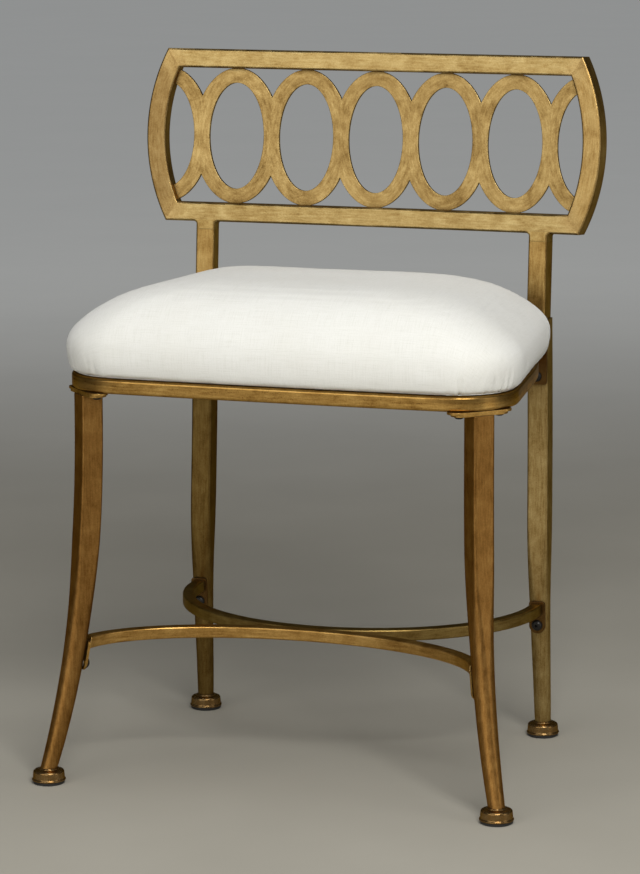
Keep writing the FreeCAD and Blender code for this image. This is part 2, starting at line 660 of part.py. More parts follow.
# rear cross rail and two flat straps inside the ring
rail_o = V(-220, 134.0, RING_ZM)
rail = Part.Face(rounded_wire(RING_H / 2, RING_H / 2, 2.0, rail_o, V(0, 1, 0), V(0, 0, 1))).extrude(V(440, 0, 0))
rail = rail.cut(Part.Face(rounded_wire(RING_H / 2 - WALL, RING_H / 2 - WALL, 0.8, rail_o - V(1, 0, 0), V(0, 1, 0),
                                       V(0, 0, 1))).extrude(V(442, 0, 0)))
rail = rail.cut(ring_full)
keep("seat_rear_rail", min(rail.Solids, key=lambda q: abs(q.CenterOfMass.x)))
strap_screws = []
for nm, y in (("seat_strap_front", -62.0), ("seat_strap_rear", 62.0)):
    st = Part.makeBox(480, 25, 3.0, V(-240, y - 12.5, RING_Z1 - 3.0))
    st = st.cut(ring_full)
    st = min(st.Solids, key=lambda q: abs(q.CenterOfMass.x))
    for x in (-135.0, 135.0):
        st = st.cut(Part.makeCylinder(2.6, 10, V(x, y, RING_Z1 - 8), V(0, 0, 1)))
        strap_screws.append(button_bolt(V(x, y, RING_Z1 - 3.02), V(0, 0, -1), 4.2, 2.4, 2.1, 13.5))
    keep(nm, one(st))
keep("seat_screws", Part.makeCompound(strap_screws))

# ---------------------------------------------------------------------------
# 5. Rear brackets, plugs and bolts; rear legs
# ---------------------------------------------------------------------------
bx = rear_axis(408).x
bracket = Part.makeBox(bx + RH - BRACKET_IN_X, BRACKET_T, BRACKET_Z1 - BRACKET_Z0,
                       V(BRACKET_IN_X, REAR_Y - RH - BRACKET_T, BRACKET_Z0))
bracket = soften(bracket, 3.0, lambda e: abs(e.Vertexes[0].Z - e.Vertexes[1].Z) < 1e-6 and abs(
    e.Vertexes[0].X - e.Vertexes[1].X) < 1e-6)
rear_bolts = []
plug = Part.Face(rounded_wire(9.2, 9.2, 1.0, V(rear_axis(408).x, REAR_Y, 380.0), V(1, 0, 0), V(0, 1, 0))).extrude(
    V(0, 0, POST_BOTTOM_Z - 380.0))
spigot = to_back(Part.makeCylinder(8.2, 34, V(POST_X, 0, POST_LOW - 2), V(0, 0, 1))).common(
    half_space(V(0, 0, POST_BOTTOM_Z - 0.01), V(0, 0, 1)))
plug = one(plug.fuse(spigot))
for z in REAR_BOLT_Z:
    c = V(bx, REAR_Y - RH - BRACKET_T - 1, z)
    bracket = bracket.cut(Part.makeCylinder(3.2, BRACKET_T + 2, c, V(0, 1, 0)))
    leg_r = leg_r.cut(Part.makeCylinder(3.2, 8, V(bx, REAR_Y - RH - 2, z), V(0, 1, 0)))
    plug = plug.cut(Part.makeCylinder(3.05, 16, V(bx, REAR_Y - RH, z), V(0, 1, 0)))
    rear_bolts.append(button_bolt(V(bx, REAR_Y - RH - BRACKET_T - 0.02, z), V(0, -1, 0), 5.6, 2.8, 3.0, 16.0))
keep("rear_bracket_right", one(bracket))
keep("rear_bracket_left", mirror_x(one(bracket)))
keep("post_plug_right", one(plug))
keep("post_plug_left", mirror_x(one(plug)))
keep("rear_bolts", Part.makeCompound(rear_bolts + [mirror_x(b) for b in rear_bolts]))
keep("rear_leg_right", one(leg_r))
keep("rear_leg_left", mirror_x(one(leg_r)))


# ---------------------------------------------------------------------------
# 6. Feet: turned cap with a rim and a flat shoulder, and a plastic glide pressed in
# ---------------------------------------------------------------------------
GLIDE_TOP = 3.0


def foot_cap(x, y):
    def q(r, z):
        return V(r, 0, z)
    e = [
        Part.LineSegment(q(0, 10.0), q(3.1, 10.0)).toShape(),
        Part.LineSegment(q(3.1, 10.0), q(3.1, GLIDE_TOP)).toShape(),
        Part.LineSegment(q(3.1, GLIDE_TOP), q(16.3, GLIDE_TOP)).toShape(),
        Part.Arc(q(16.3, GLIDE_TOP), q(FOOT_R, GLIDE_TOP + 0.9), q(16.7, GLIDE_TOP + 1.9)).toShape(),
        Part.Arc(q(16.7, GLIDE_TOP + 1.9), q(16.2, GLIDE_TOP + 2.5), q(16.05, GLIDE_TOP + 3.3)).toShape(),
        Part.LineSegment(q(16.05, GLIDE_TOP + 3.3), q(15.7, 11.2)).toShape(),
        Part.Arc(q(15.7, 11.2), q(15.1, 12.9), q(13.4, 13.7)).toShape(),
        Part.Arc(q(13.4, 13.7), q(11.0, 14.15), q(8.6, LEG_END_Z)).toShape(),
        Part.LineSegment(q(8.6, LEG_END_Z), q(0, LEG_END_Z)).toShape(),
        Part.LineSegment(q(0, LEG_END_Z), q(0, 10.0)).toShape()]
    s = Part.Face(Part.Wire(e)).revolve(V(0, 0, 0), V(0, 0, 1), 360)
    s.translate(V(x, y, 0))
    return one(Part.makeCompound([s]))


def glide(x, y):
    def q(r, z):
        return V(r, 0, z)
    e = [
        Part.LineSegment(q(0, 0), q(14.6, 0)).toShape(),
        Part.Arc(q(14.6, 0), q(15.6, 0.4), q(16.0, 1.4)).toShape(),
        Part.LineSegment(q(16.0, 1.4), q(16.0, GLIDE_TOP)).toShape(),
        Part.LineSegment(q(16.0, GLIDE_TOP), q(3.05, GLIDE_TOP)).toShape(),
        Part.LineSegment(q(3.05, GLIDE_TOP), q(3.05, 9.5)).toShape(),
        Part.LineSegment(q(3.05, 9.5), q(0, 9.5)).toShape(),
        Part.LineSegment(q(0, 9.5), q(0, 0)).toShape()]
    s = Part.Face(Part.Wire(e)).revolve(V(0, 0, 0), V(0, 0, 1), 360)
    s.translate(V(x, y, 0))
    return one(Part.makeCompound([s]))


fx, fy = FRONT_TOP_X + FRONT_SWEEP_X, FRONT_TOP_Y + FRONT_SWEEP_Y
for nm, x, y in (("front_right", fx, fy), ("front_left", -fx, fy),
                 ("rear_right", REAR_FOOT_X, REAR_Y + rear_drift(LEG_END_Z)),
                 ("rear_left", -REAR_FOOT_X, REAR_Y + rear_drift(LEG_END_Z))):
    keep("foot_cap_" + nm, foot_cap(x, y))
    keep("foot_glide_" + nm, glide(x, y))


# ---------------------------------------------------------------------------
# 7. Seat pad: plywood board, foam, sewn cover with its turned-in hem, dust cloth
# ---------------------------------------------------------------------------
def pad_outline(off, count=48):
    """Points of the closed seat outline, offset outwards by off."""
    r = RING_R + off
    rr = PAD_REAR_R + off
    right = []
    for i in range(7):
        t = PHI * i / 6.0
        right.append((( RING_FRONT_R + off) * math.sin(t), RFC.y - (RING_FRONT_R + off) * math.cos(t)))
    a0, a1 = -math.pi / 2 + PHI, SIDE
    for i in range(1, 13):
        t = a0 + (a1 - a0) * i / 12.0
        right.append((RING_CX + r * math.cos(t), RING_CY + r * math.sin(t)))
    nx, ny = math.cos(SIDE), math.sin(SIDE)
    d = nx * RING_CX + ny * RING_CY + RING_R
    yc = PAD_REAR_Y - PAD_REAR_R
    xc = (d - PAD_REAR_R - ny * yc) / nx
    for i in range(13):
        t = SIDE + (math.pi / 2 - SIDE) * i / 12.0
        right.append((xc + rr * math.cos(t), yc + rr * math.sin(t)))
    right.append((0.0, PAD_REAR_Y + off))
    left = [(-x, y) for x, y in right[-2:0:-1]]
    pts = right + left
    # even spacing, starting at the middle of the front
    n = len(pts)
    cum = [0.0]
    for i in range(n):
        x0, y0 = pts[i]
        x1, y1 = pts[(i + 1) % n]
        cum.append(cum[-1] + math.hypot(x1 - x0, y1 - y0))
    out = []
    for k in range(count):
        s = cum[-1] * k / count
        i = 0
        while cum[i + 1] < s:
            i += 1
        f = (s - cum[i]) / (cum[i + 1] - cum[i])
        x0, y0 = pts[i]
        x1, y1 = pts[(i + 1) % n]
        out.append((x0 + (x1 - x0) * f, y0 + (y1 - y0) * f))
    return out


def pad_wire(off, z, rho=1.0):
    pts = []
    for x, y in pad_outline(off):
        pts.append(V(x * rho, PAD_CENTRE_Y + (y - PAD_CENTRE_Y) * rho, z))
    c = Part.BSplineCurve()
    c.interpolate(Points=pts, PeriodicFlag=True)
    return Part.Wire(c.toShape())


def pad_profile():
    """Rounded profile from the under edge to the crown, as (outward distance, height)."""
    raw = []
    for i in range(41):
        t = math.pi / 2 * (1 - i / 40.0)
        raw.append((-1 + (PAD_BULGE + 1) * math.cos(t), PAD_WIDE_Z - (PAD_WIDE_Z - PAD_Z0) * math.sin(t)))
    steps = [0.0005 + 0.0295 * i / 24.0 for i in range(1, 25)] + [0.03 + 0.97 * i / 90.0 for i in range(1, 91)]
    for d in steps:
        rho = max(0.0, 1 - d)
        raw.append((PAD_BULGE - d * PAD_REACH, PAD_WIDE_Z + PAD_CROWN * (1 - rho ** PAD_N) ** PAD_M))
    cum = [0.0]
    for p0, p1 in zip(raw, raw[1:]):
        cum.append(cum[-1] + math.hypot(p1[0] - p0[0], p1[1] - p0[1]))
    even, i = [], 0
    for k in range(int(cum[-1]) + 1):
        while i < len(cum) - 2 and cum[i + 1] < k:
            i += 1
        f = (k - cum[i]) / (cum[i + 1] - cum[i])
        even.append(tuple(raw[i][c] + (raw[i + 1][c] - raw[i][c]) * f for c in (0, 1)))
    n = 3 * PAD_SHOULDER
    w = [math.exp(-0.5 * (k / PAD_SHOULDER) ** 2) for k in range(-n, n + 1)]
    total = sum(w)
    q0, q1 = even[0], even[-1]
    lead = [(2 * q0[0] - even[k][0], 2 * q0[1] - even[k][1]) for k in range(n, 0, -1)]
    tail = [(2 * q1[0] - even[-1 - k][0], even[-1 - k][1]) for k in range(1, n + 1)]
    full = lead + even + tail
    return [tuple(sum(w[j] * full[k + j][c] for j in range(2 * n + 1)) / total for c in (0, 1))
            for k in range(len(even))]


PROFILE = pad_profile()
WIDE_I = max(range(len(PROFILE)), key=lambda k: PROFILE[k][0])
WIDE_OFF, WIDE_TRUE_Z = PROFILE[WIDE_I]


def profile_at_z(z):
    for (r0, z0), (r1, z1) in zip(PROFILE, PROFILE[1:]):
        if z0 <= z <= z1:
            return r0 + (r1 - r0) * (z - z0) / (z1 - z0)
    return PROFILE[0][0]


def pad_solid(inset, z_bottom):
    """Crowned pad, inset from the finished surface, starting at z_bottom."""
    rows = []
    for k in (0.0, 0.2, 0.45, 0.72, 1.0):
        z = z_bottom + (WIDE_TRUE_Z - z_bottom) * k
        rows.append(pad_wire(profile_at_z(z) - inset, z))
    last = WIDE_I
    for k in range(WIDE_I + 1, len(PROFILE)):
        r, z = PROFILE[k]
        rho = 1 - (WIDE_OFF - r) / PAD_REACH
        gap = 4.5 if rho > 0.9 else 13.0
        if k - last < gap or rho < 0.22:
            continue
        last = k
        rows.append(pad_wire(WIDE_OFF - inset, z - inset * min(1.0, (1 - rho) * 12), rho))
    s = one(Part.makeCompound([Part.makeLoft(rows, True, True)]))
    return s if s.Volume > 0 else s.reversed()


pad_outer = pad_solid(0.0, PAD_Z0)
pad_inner = pad_solid(COVER_T, BOARD_Z0 - 0.3)
hem_hole = Part.Face(pad_wire(-30.0, PAD_Z0 - 2)).extrude(V(0, 0, 6))
cover = one(pad_outer.cut(pad_inner).cut(hem_hole))
keep("seat_cover", cover)
board = Part.Face(pad_wire(-5.0, BOARD_Z0)).extrude(V(0, 0, BOARD_Z1 - BOARD_Z0))
for s in strap_screws:
    board = board.cut(s)
board = one(board)
keep("seat_board", board)
keep("seat_foam", pad_solid(COVER_T + FOAM_GAP, BOARD_Z1 + 0.3))
dust = Part.Face(pad_wire(-30.6, PAD_Z0 + 0.5)).extrude(V(0, 0, 0.6))
for s in strap_screws:
    dust = dust.cut(Part.makeCylinder(2.4, 4, V(s.CenterOfMass.x, s.CenterOfMass.y, PAD_Z0 - 1), V(0, 0, 1)))
keep("seat_dust_cloth", one(dust))

# ---------------------------------------------------------------------------
lo, hi = V(1e9, 1e9, 1e9), V(-1e9, -1e9, -1e9)
for name, shape in MADE.items():
    s = shape.copy()
    s.translate(V(0, ORIGIN_SHIFT_Y, 0))
    b = s.BoundBox
    lo = V(min(lo.x, b.XMin), min(lo.y, b.YMin), min(lo.z, b.ZMin))
    hi = V(max(hi.x, b.XMax), max(hi.y, b.YMax), max(hi.z, b.ZMax))
    s.exportStep("parts/" + name + ".step")
print(len(MADE), "pieces, box", [round(c, 2) for c in (lo.x, lo.y, lo.z, hi.x, hi.y, hi.z)])
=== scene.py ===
import bpy, bmesh
import math
import random
import numpy as np
from mathutils import Vector, Matrix, noise


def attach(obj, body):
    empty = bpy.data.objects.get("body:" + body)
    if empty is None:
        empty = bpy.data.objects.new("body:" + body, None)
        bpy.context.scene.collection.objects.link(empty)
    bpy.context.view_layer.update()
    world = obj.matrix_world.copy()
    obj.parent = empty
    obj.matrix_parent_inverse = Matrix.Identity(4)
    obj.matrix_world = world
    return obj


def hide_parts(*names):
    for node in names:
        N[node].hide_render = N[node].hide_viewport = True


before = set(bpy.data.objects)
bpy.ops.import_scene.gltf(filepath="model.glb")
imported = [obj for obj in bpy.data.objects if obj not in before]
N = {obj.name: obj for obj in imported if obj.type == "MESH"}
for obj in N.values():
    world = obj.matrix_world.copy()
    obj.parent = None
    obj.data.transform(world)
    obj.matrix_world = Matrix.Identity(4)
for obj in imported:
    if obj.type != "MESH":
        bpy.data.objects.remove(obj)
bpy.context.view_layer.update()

SHIFT = -0.01109          # the CAD part's move along Y, metres
MM = 0.001


# ---------------------------------------------------------------------------
# small helpers
# ---------------------------------------------------------------------------
def srgb(r, g, b):
    def lin(c):
        c = c / 255.0
        return c / 12.92 if c <= 0.04045 else ((c + 0.055) / 1.055) ** 2.4
    return (lin(r), lin(g), lin(b), 1.0)


def add_mesh(name, verts, faces, smooth=True):
    me = bpy.data.meshes.new(name)
    me.from_pydata([tuple(v) for v in verts], [], faces)
    me.update()
    if smooth:
        me.polygons.foreach_set("use_smooth", [True] * len(me.polygons))
    ob = bpy.data.objects.new(name, me)
    bpy.context.scene.collection.objects.link(ob)
    return ob


class NT:
    """Short-hand for building node trees."""

    def __init__(self, name):
        self.mat = bpy.data.materials.new(name)
        self.mat.use_nodes = True
        self.t = self.mat.node_tree
        self.t.nodes.clear()
        self.out = self.t.nodes.new("ShaderNodeOutputMaterial")

    def n(self, kind, **props):
        nd = self.t.nodes.new("ShaderNode" + kind)
        for k, v in props.items():
            setattr(nd, k, v)
        return nd

    def link(self, a, b):
        self.t.links.new(a, b)

    def put(self, nd, **vals):
        for k, v in vals.items():
            s = nd.inputs[k.replace("_", " ")] if k.replace("_", " ") in nd.inputs else nd.inputs[k]
            if hasattr(v, "links") or hasattr(v, "is_output"):
                self.link(v, s)
            else:
                s.default_value = v
        return nd

    def coords(self):
        return self.n("TexCoord").outputs["Object"]

    def scaled(self, vec, scale, loc=(0, 0, 0), rot=(0, 0, 0)):
        m = self.n("Mapping")
        self.link(vec, m.inputs["Vector"])
        m.inputs["Scale"].default_value = scale
        m.inputs["Location"].default_value = loc
        m.inputs["Rotation"].default_value = rot
        return m.outputs["Vector"]

    def noise(self, vec, scale=1.0, detail=2.0, rough=0.5, dist=0.0):
        nd = self.n("TexNoise")
        self.link(vec, nd.inputs["Vector"])
        nd.inputs["Scale"].default_value = scale
        nd.inputs["Detail"].default_value = detail
        nd.inputs["Roughness"].default_value = rough
        nd.inputs["Distortion"].default_value = dist
        return nd.outputs["Fac"]

    def ramp(self, fac, stops, interp="LINEAR"):
        nd = self.n("ValToRGB")
        nd.color_ramp.interpolation = interp
        els = nd.color_ramp.elements
        while len(els) < len(stops):
            els.new(0.5)
        for e, (p, c) in zip(els, stops):
            e.position = p
            e.color = c if len(c) == 4 else (*c, 1.0)
        self.link(fac, nd.inputs["Fac"])
        return nd.outputs["Color"]

    def step(self, fac, lo, hi, a=0.0, b=1.0):
        nd = self.n("MapRange", interpolation_type="SMOOTHSTEP")
        self.link(fac, nd.inputs["Value"])
        nd.inputs["From Min"].default_value = lo
        nd.inputs["From Max"].default_value = hi
        nd.inputs["To Min"].default_value = a
        nd.inputs["To Max"].default_value = b
        return nd.outputs["Result"]

    def math(self, op, a, b=None, c=None, clamp=False):
        nd = self.n("Math", operation=op, use_clamp=clamp)
        for i, v in enumerate((a, b, c)):
            if v is None:
                continue
            if isinstance(v, (int, float)):
                nd.inputs[i].default_value = v
            else:
                self.link(v, nd.inputs[i])
        return nd.outputs[0]

    def mix(self, fac, a, b, blend="MIX"):
        nd = self.n("Mix", data_type="RGBA", blend_type=blend, clamp_factor=True)
        for s, v in ((nd.inputs[0], fac), (nd.inputs[6], a), (nd.inputs[7], b)):
            if isinstance(v, (int, float)):
                s.default_value = v
            elif isinstance(v, tuple):
                s.default_value = v
            else:
                self.link(v, s)
        return nd.outputs[2]

    def bump(self, height, strength, dist, normal=None):
        nd = self.n("Bump")
        self.link(height, nd.inputs["Height"])
        nd.inputs["Strength"].default_value = strength
        nd.inputs["Distance"].default_value = dist
        if normal is not None:
            self.link(normal, nd.inputs["Normal"])
        return nd.outputs["Normal"]

    def sep(self, vec):
        nd = self.n("SeparateXYZ")
        self.link(vec, nd.inputs[0])
        return nd.outputs[0], nd.outputs[1], nd.outputs[2]

    def comb(self, x, y, z):
        nd = self.n("CombineXYZ")
        for s, v in zip(nd.inputs, (x, y, z)):
            if isinstance(v, (int, float)):
                s.default_value = v
            else:
                self.link(v, s)
        return nd.outputs[0]


# ---------------------------------------------------------------------------
# hand-rubbed antique gold
# ---------------------------------------------------------------------------
def gold(name, mode, base, seed=0.0, rough=0.36, spread=1.05, metal=0.95, mask=None, relief=0.16, round_r=0.0011, painted_bend_shade=False):
    """Painted and rubbed gold. mode is the way the rubbing runs: x, z, h (level), fret, arc_left,
    arc_right or mottle. mask names the ground-flush joint to leave unbroken."""
    b = NT(name)
    co = b.coords()
    x, y, z = b.sep(co)
    w = b.math("ADD", z, -0.6206)
    if mode in ("x", "z", "h", "mottle"):
        sc = {"x": (60, 520, 520), "z": (520, 520, 46), "h": (56, 56, 520), "mottle": (210, 210, 210)}[mode]
        line = b.scaled(co, sc, loc=(seed, seed * 1.7, seed * 0.6))
    elif mode == "fret":
        pitch = 0.0761
        k = b.math("ROUND", b.math("DIVIDE", x, pitch))
        un = b.math("DIVIDE", b.math("SUBTRACT", x, b.math("MULTIPLY", k, pitch)), 0.038)
        wn = b.math("DIVIDE", w, 0.0635)
        ang = b.math("ARCTAN2", wn, un)
        rad = b.math("SQRT", b.math("ADD", b.math("MULTIPLY", un, un), b.math("MULTIPLY", wn, wn)))
        ca = b.math("MULTIPLY", b.math("COSINE", ang), 3.2)
        sa = b.math("MULTIPLY", b.math("SINE", ang), 5.2)
        line = b.comb(b.math("ADD", ca, b.math("MULTIPLY", k, 7.3)), sa, b.math("MULTIPLY", rad, 17.0))
    else:
        side = 1.0 if mode == "arc_right" else -1.0
        u = b.math("MULTIPLY", b.math("SUBTRACT", x, 0.0486 * side), side)
        ang = b.math("ARCTAN2", w, u)
        rad = b.math("SQRT", b.math("ADD", b.math("MULTIPLY", u, u), b.math("MULTIPLY", w, w)))
        line = b.comb(b.math("MULTIPLY", ang, 11.0), b.math("MULTIPLY", rad, 520.0), b.math("MULTIPLY", y, 520.0))
    streak = b.noise(line, 1.0, 3.0, 0.6, 0.2)
    blotch = b.noise(b.scaled(co, (58, 58, 58), loc=(seed * 3.1, 4.0, seed)), 1.0, 3.0, 0.55, 0.5)
    wide = b.noise(b.scaled(co, (17, 17, 17), loc=(seed, 1.0, seed * 2.0)), 1.0, 2.0, 0.5, 0.3)
    fine = b.noise(b.scaled(co, (640, 640, 640), loc=(seed, 0, 0)), 1.0, 2.0, 0.65)
    speck = b.noise(b.scaled(co, (1500, 1500, 1500)), 1.0, 1.0, 0.5)
    # layered paint: a brown ground, the gold coat, and paler gold where it is rubbed
    lift = b.math("ADD", b.math("MULTIPLY", streak, 0.36), b.math("MULTIPLY", blotch, 0.30))
    lift = b.math("ADD", lift, b.math("ADD", b.math("MULTIPLY", fine, 0.22), b.math("MULTIPLY", wide, 0.12)))
    r0, g0, b0 = base

    def tint(k, warm):
        return srgb(min(255, r0 * k * (1 + 0.02 * warm)), min(255, g0 * k * (1 - 0.02 * warm)), min(255, b0 * k * (1 - 0.10 * warm)))
    col = b.ramp(lift, [(0.30, tint(1 - 0.40 * spread, 2.2)), (0.42, tint(1 - 0.15 * spread, 1.0)), (0.52, tint(1.0, 0.0)),
                        (0.66, tint(1 + 0.17 * spread, -1.0))])
    col = b.mix(b.step(speck, 0.62, 0.74, 0.0, 0.22 * spread), col, tint(0.55, 2.0))
    # dark glaze left in the corners; pale gold on the edges, partly rubbed-through wear and partly a painted highlight
    ao = b.n("AmbientOcclusion", samples=5, only_local=False)
    ao.inputs["Distance"].default_value = 0.006
    glaze = b.step(ao.outputs["AO"], 0.30, 0.90, 0.70, 0.0)
    glaze = b.math("MULTIPLY", glaze, b.step(blotch, 0.35, 0.62, 0.7, 1.0))
    col = b.mix(glaze, col, tint(0.34, 2.0))
    bev = b.n("Bevel", samples=6)
    bev.inputs["Radius"].default_value = round_r
    geo = b.n("NewGeometry")
    dot = b.n("VectorMath", operation="DOT_PRODUCT")
    b.link(bev.outputs["Normal"], dot.inputs[0])
    b.link(geo.outputs["Normal"], dot.inputs[1])
    edge = b.step(dot.outputs["Value"], 0.90, 0.995, 1.0, 0.0)
    edge = b.math("MULTIPLY", edge, b.step(blotch, 0.35, 0.6, 0.15, 0.6))
    normal = bev.outputs["Normal"]
    if mask:
        if mask == "mitre":
            far = b.math("SUBTRACT", b.math("MULTIPLY", b.math("SUBTRACT", b.math("ABSOLUTE", x), 0.2268), 0.843),
                         b.math("MULTIPLY", b.math("SUBTRACT", b.math("ABSOLUTE", b.math("DIVIDE", w, 0.99692)), 0.0907), 0.538))
        else:
            far = b.math("SUBTRACT", z, mask)
        keep = b.step(b.math("ABSOLUTE", far), 0.0016, 0.0042)
        if mask == "mitre":
            # the same rubbed tone runs over the ground joint from both sides
            near = b.step(b.math("ABSOLUTE", far), 0.001, 0.016, 1.0, 0.0)
            both = b.ramp(b.math("ADD", b.math("MULTIPLY", fine, 0.4), b.math("MULTIPLY", blotch, 0.6)),
                          [(0.34, srgb(126, 98, 56)), (0.50, srgb(163, 135, 84)), (0.66, srgb(184, 157, 104))])
            col = b.mix(near, col, both)
        edge = b.math("MULTIPLY", edge, keep)
        mx = b.n("Mix", data_type="VECTOR")
        b.link(keep, mx.inputs[0])
        b.link(geo.outputs["Normal"], mx.inputs[4])
        b.link(normal, mx.inputs[5])
        normal = mx.outputs[1]
    # pale edge tint: rubbed-through wear and a painted highlight along the rounded edges
    col = b.mix(edge, col, tint(1.32, -2.0))
    rg = b.math("ADD", b.math("MULTIPLY", streak, 0.14), b.math("MULTIPLY", fine, 0.10))
    rg = b.math("ADD", rg, rough - 0.12)
    rg = b.math("ADD", rg, b.math("MULTIPLY", glaze, 0.20), clamp=True)
    h = b.math("ADD", b.math("MULTIPLY", streak, 0.6), b.math("MULTIPLY", fine, 0.5))
    h = b.math("ADD", h, b.math("MULTIPLY", blotch, 0.8))
    nrm = b.bump(h, relief, 0.0005, normal)
    if painted_bend_shade:
        # painted shade: the upper half of the wall is darkened where the tube turns the corner
        turn = b.math("MULTIPLY", b.step(b.math("ABSOLUTE", x), 0.150, 0.180), b.step(z, 0.4015, 0.4050))
        turn = b.math("MULTIPLY", turn, b.step(z, 0.4092, 0.4099, 1.0, 0.0))
        col = b.mix(b.math("MULTIPLY", turn, 0.45), col, tint(0.45, 1.0))
    p = b.n("BsdfPrincipled")
    b.link(col, p.inputs["Base Color"])
    b.link(b.mix(0.35, col, (1.0, 0.86, 0.62, 1.0)), p.inputs["Specular Tint"])
    b.link(rg, p.inputs["Roughness"])
    b.link(nrm, p.inputs["Normal"])
    p.inputs["Metallic"].default_value = metal
    p.inputs["IOR"].default_value = 1.5
    b.link(p.outputs[0], b.out.inputs["Surface"])
    return b.mat


def simple(name, base, rough, metal=0.0, grain=600, bumpd=0.0002, spread=0.25, coat=0.0):
    """Plain hardware or plastic with a slightly uneven surface."""
    b = NT(name)
    co = b.coords()
    n1 = b.noise(b.scaled(co, (grain,) * 3), 1.0, 3.0, 0.6)
    n2 = b.noise(b.scaled(co, (60, 60, 60)), 1.0, 2.0, 0.5)
    dark = tuple(c * (1 - spread) for c in base[:3]) + (1,)
    lite = tuple(min(1, c * (1 + spread)) for c in base[:3]) + (1,)
    col = b.ramp(b.math("ADD", b.math("MULTIPLY", n1, 0.5), b.math("MULTIPLY", n2, 0.5)), [(0.35, dark), (0.65, lite)])
    bev = b.n("Bevel", samples=4)
    bev.inputs["Radius"].default_value = 0.0004
    p = b.n("BsdfPrincipled")
    b.link(col, p.inputs["Base Color"])
    b.link(b.math("ADD", b.math("MULTIPLY", n1, 0.2), rough - 0.1), p.inputs["Roughness"])
    b.link(b.bump(n1, 0.3, bumpd, bev.outputs["Normal"]), p.inputs["Normal"])
    p.inputs["Metallic"].default_value = metal
    p.inputs["Coat Weight"].default_value = coat
    b.link(p.outputs[0], b.out.inputs["Surface"])
    return b.mat


GOLD, DEEP, WORN, FRET, POST = (172, 146, 93), (146, 119, 73), (170, 140, 86), (169, 140, 86), (158, 127, 73)
BRASS, COPPER, BAR, OLIVE, REAR_LEG_SHADE_TONE, BRONZE = (184, 144, 78), (146, 106, 54), (188, 147, 82), (140, 116, 66), (122, 97, 51), (138, 110, 70)
PALE = (163, 137, 86)
MATS = {
    "x": gold("gold_level", "x", GOLD, 1.3, mask="mitre"),
    "arc_left": gold("gold_arc_left", "arc_left", DEEP, 2.2, mask="mitre"),
    "arc_right": gold("gold_arc_right", "arc_right", WORN, 4.9, mask="mitre"),
    "fret": gold("gold_fret", "fret", FRET, 0.7, rough=0.42, spread=1.35),
    "post": gold("gold_post", "z", POST, 3.9, mask=0.5302),
    "leg": gold("gold_leg", "z", COPPER, 5.1, rough=0.38),
    "rear_leg": gold("gold_rear_leg", "z", PALE, 8.4, rough=0.38),
    # left rear leg: the rear leg gold darkened as painted shade, for the shade under the seat
    "rear_leg_painted_shade": gold("gold_rear_leg_painted_shade", "z", REAR_LEG_SHADE_TONE, 8.4, rough=0.38),
    # the ring carries painted shade on the upper half of its corner bends
    "ring": gold("gold_ring", "h", BRASS, 6.6, rough=0.30, painted_bend_shade=True),
    "bar": gold("gold_bar", "h", BAR, 9.3, rough=0.34),
    "rear_bar": gold("gold_rear_bar", "h", OLIVE, 10.3, rough=0.36),
    "foot": gold("gold_foot", "mottle", BRONZE, 2.7, rough=0.26, spread=0.4, relief=0.04),
    "plate": gold("gold_plate", "mottle", BRASS, 7.7, rough=0.36, relief=0.05, round_r=0.0004),
    "joint": gold("gold_joint", "mottle", (164, 136, 82), 5.9, mask=0.5302),
    # rear tabs and bracket: a dark brown gold as painted shade, for the shadow under the cushion
    "tab": gold("gold_tab_painted_shade", "mottle", (104, 76, 40), 3.3, rough=0.38, relief=0.05, round_r=0.0006),
}
BLACK = simple("black_hardware", (0.020, 0.018, 0.016, 1), 0.42, 0.6, coat=0.1)
ZINC = simple("zinc", (0.55, 0.56, 0.55, 1), 0.38, 1.0)
GLIDE = simple("glide_plastic", (0.012, 0.012, 0.012, 1), 0.55, 0.0)


def assign(node, mat):
    ob = N[node]
    ob.data.materials.clear()
    ob.data.materials.append(mat)


for nm in N:
    if nm in ("back_top_rail", "back_bottom_rail", "seat_rear_rail"):
        assign(nm, MATS["x"])
    elif nm == "back_end_left":
        assign(nm, MATS["arc_left"])
    elif nm == "back_end_right":
        assign(nm, MATS["arc_right"])
    elif nm == "back_fret_panel":
        assign(nm, MATS["fret"])
    elif nm.startswith("back_post"):
        assign(nm, MATS["post"])
    # rear tabs and the rear bracket take the painted-shade tab gold; the front tabs take the plain plate gold
    elif nm.startswith("rear_bracket") or nm.startswith("stretcher_tab_rear"):
        assign(nm, MATS["tab"])
    elif nm.startswith("stretcher_tab_front"):
        assign(nm, MATS["plate"])
    elif nm.startswith("front_leg_plate") or nm.startswith("corner_plate"):
        assign(nm, MATS["plate"])
    elif nm.startswith("front_leg"):
        assign(nm, MATS["leg"])
    # the left rear leg takes the painted-shade copy of the rear leg gold
    elif nm == "rear_leg_left":
        assign(nm, MATS["rear_leg_painted_shade"])
    elif nm.startswith("rear_leg"):
        assign(nm, MATS["rear_leg"])
    elif nm.startswith("post_plug"):
        assign(nm, MATS["plate"])
    elif nm == "seat_ring" or nm.startswith("seat_strap"):
        assign(nm, MATS["ring"])
    elif nm == "rear_stretcher":
        assign(nm, MATS["rear_bar"])
    elif nm == "front_stretcher":
        assign(nm, MATS["bar"])
    elif nm.startswith("foot_cap"):
        assign(nm, MATS["foot"])
    elif nm.startswith("foot_glide"):
        assign(nm, GLIDE)
    elif nm in ("leg_plate_screws", "rear_bolts", "stretcher_bolts", "seat_screws"):
        assign(nm, BLACK)
    elif nm in ("ring_weld_nuts", "threaded_inserts"):
        assign(nm, ZINC)

# ---------------------------------------------------------------------------
# seat pad: linen pulled over foam and a board, gathered under at the corners
# ---------------------------------------------------------------------------


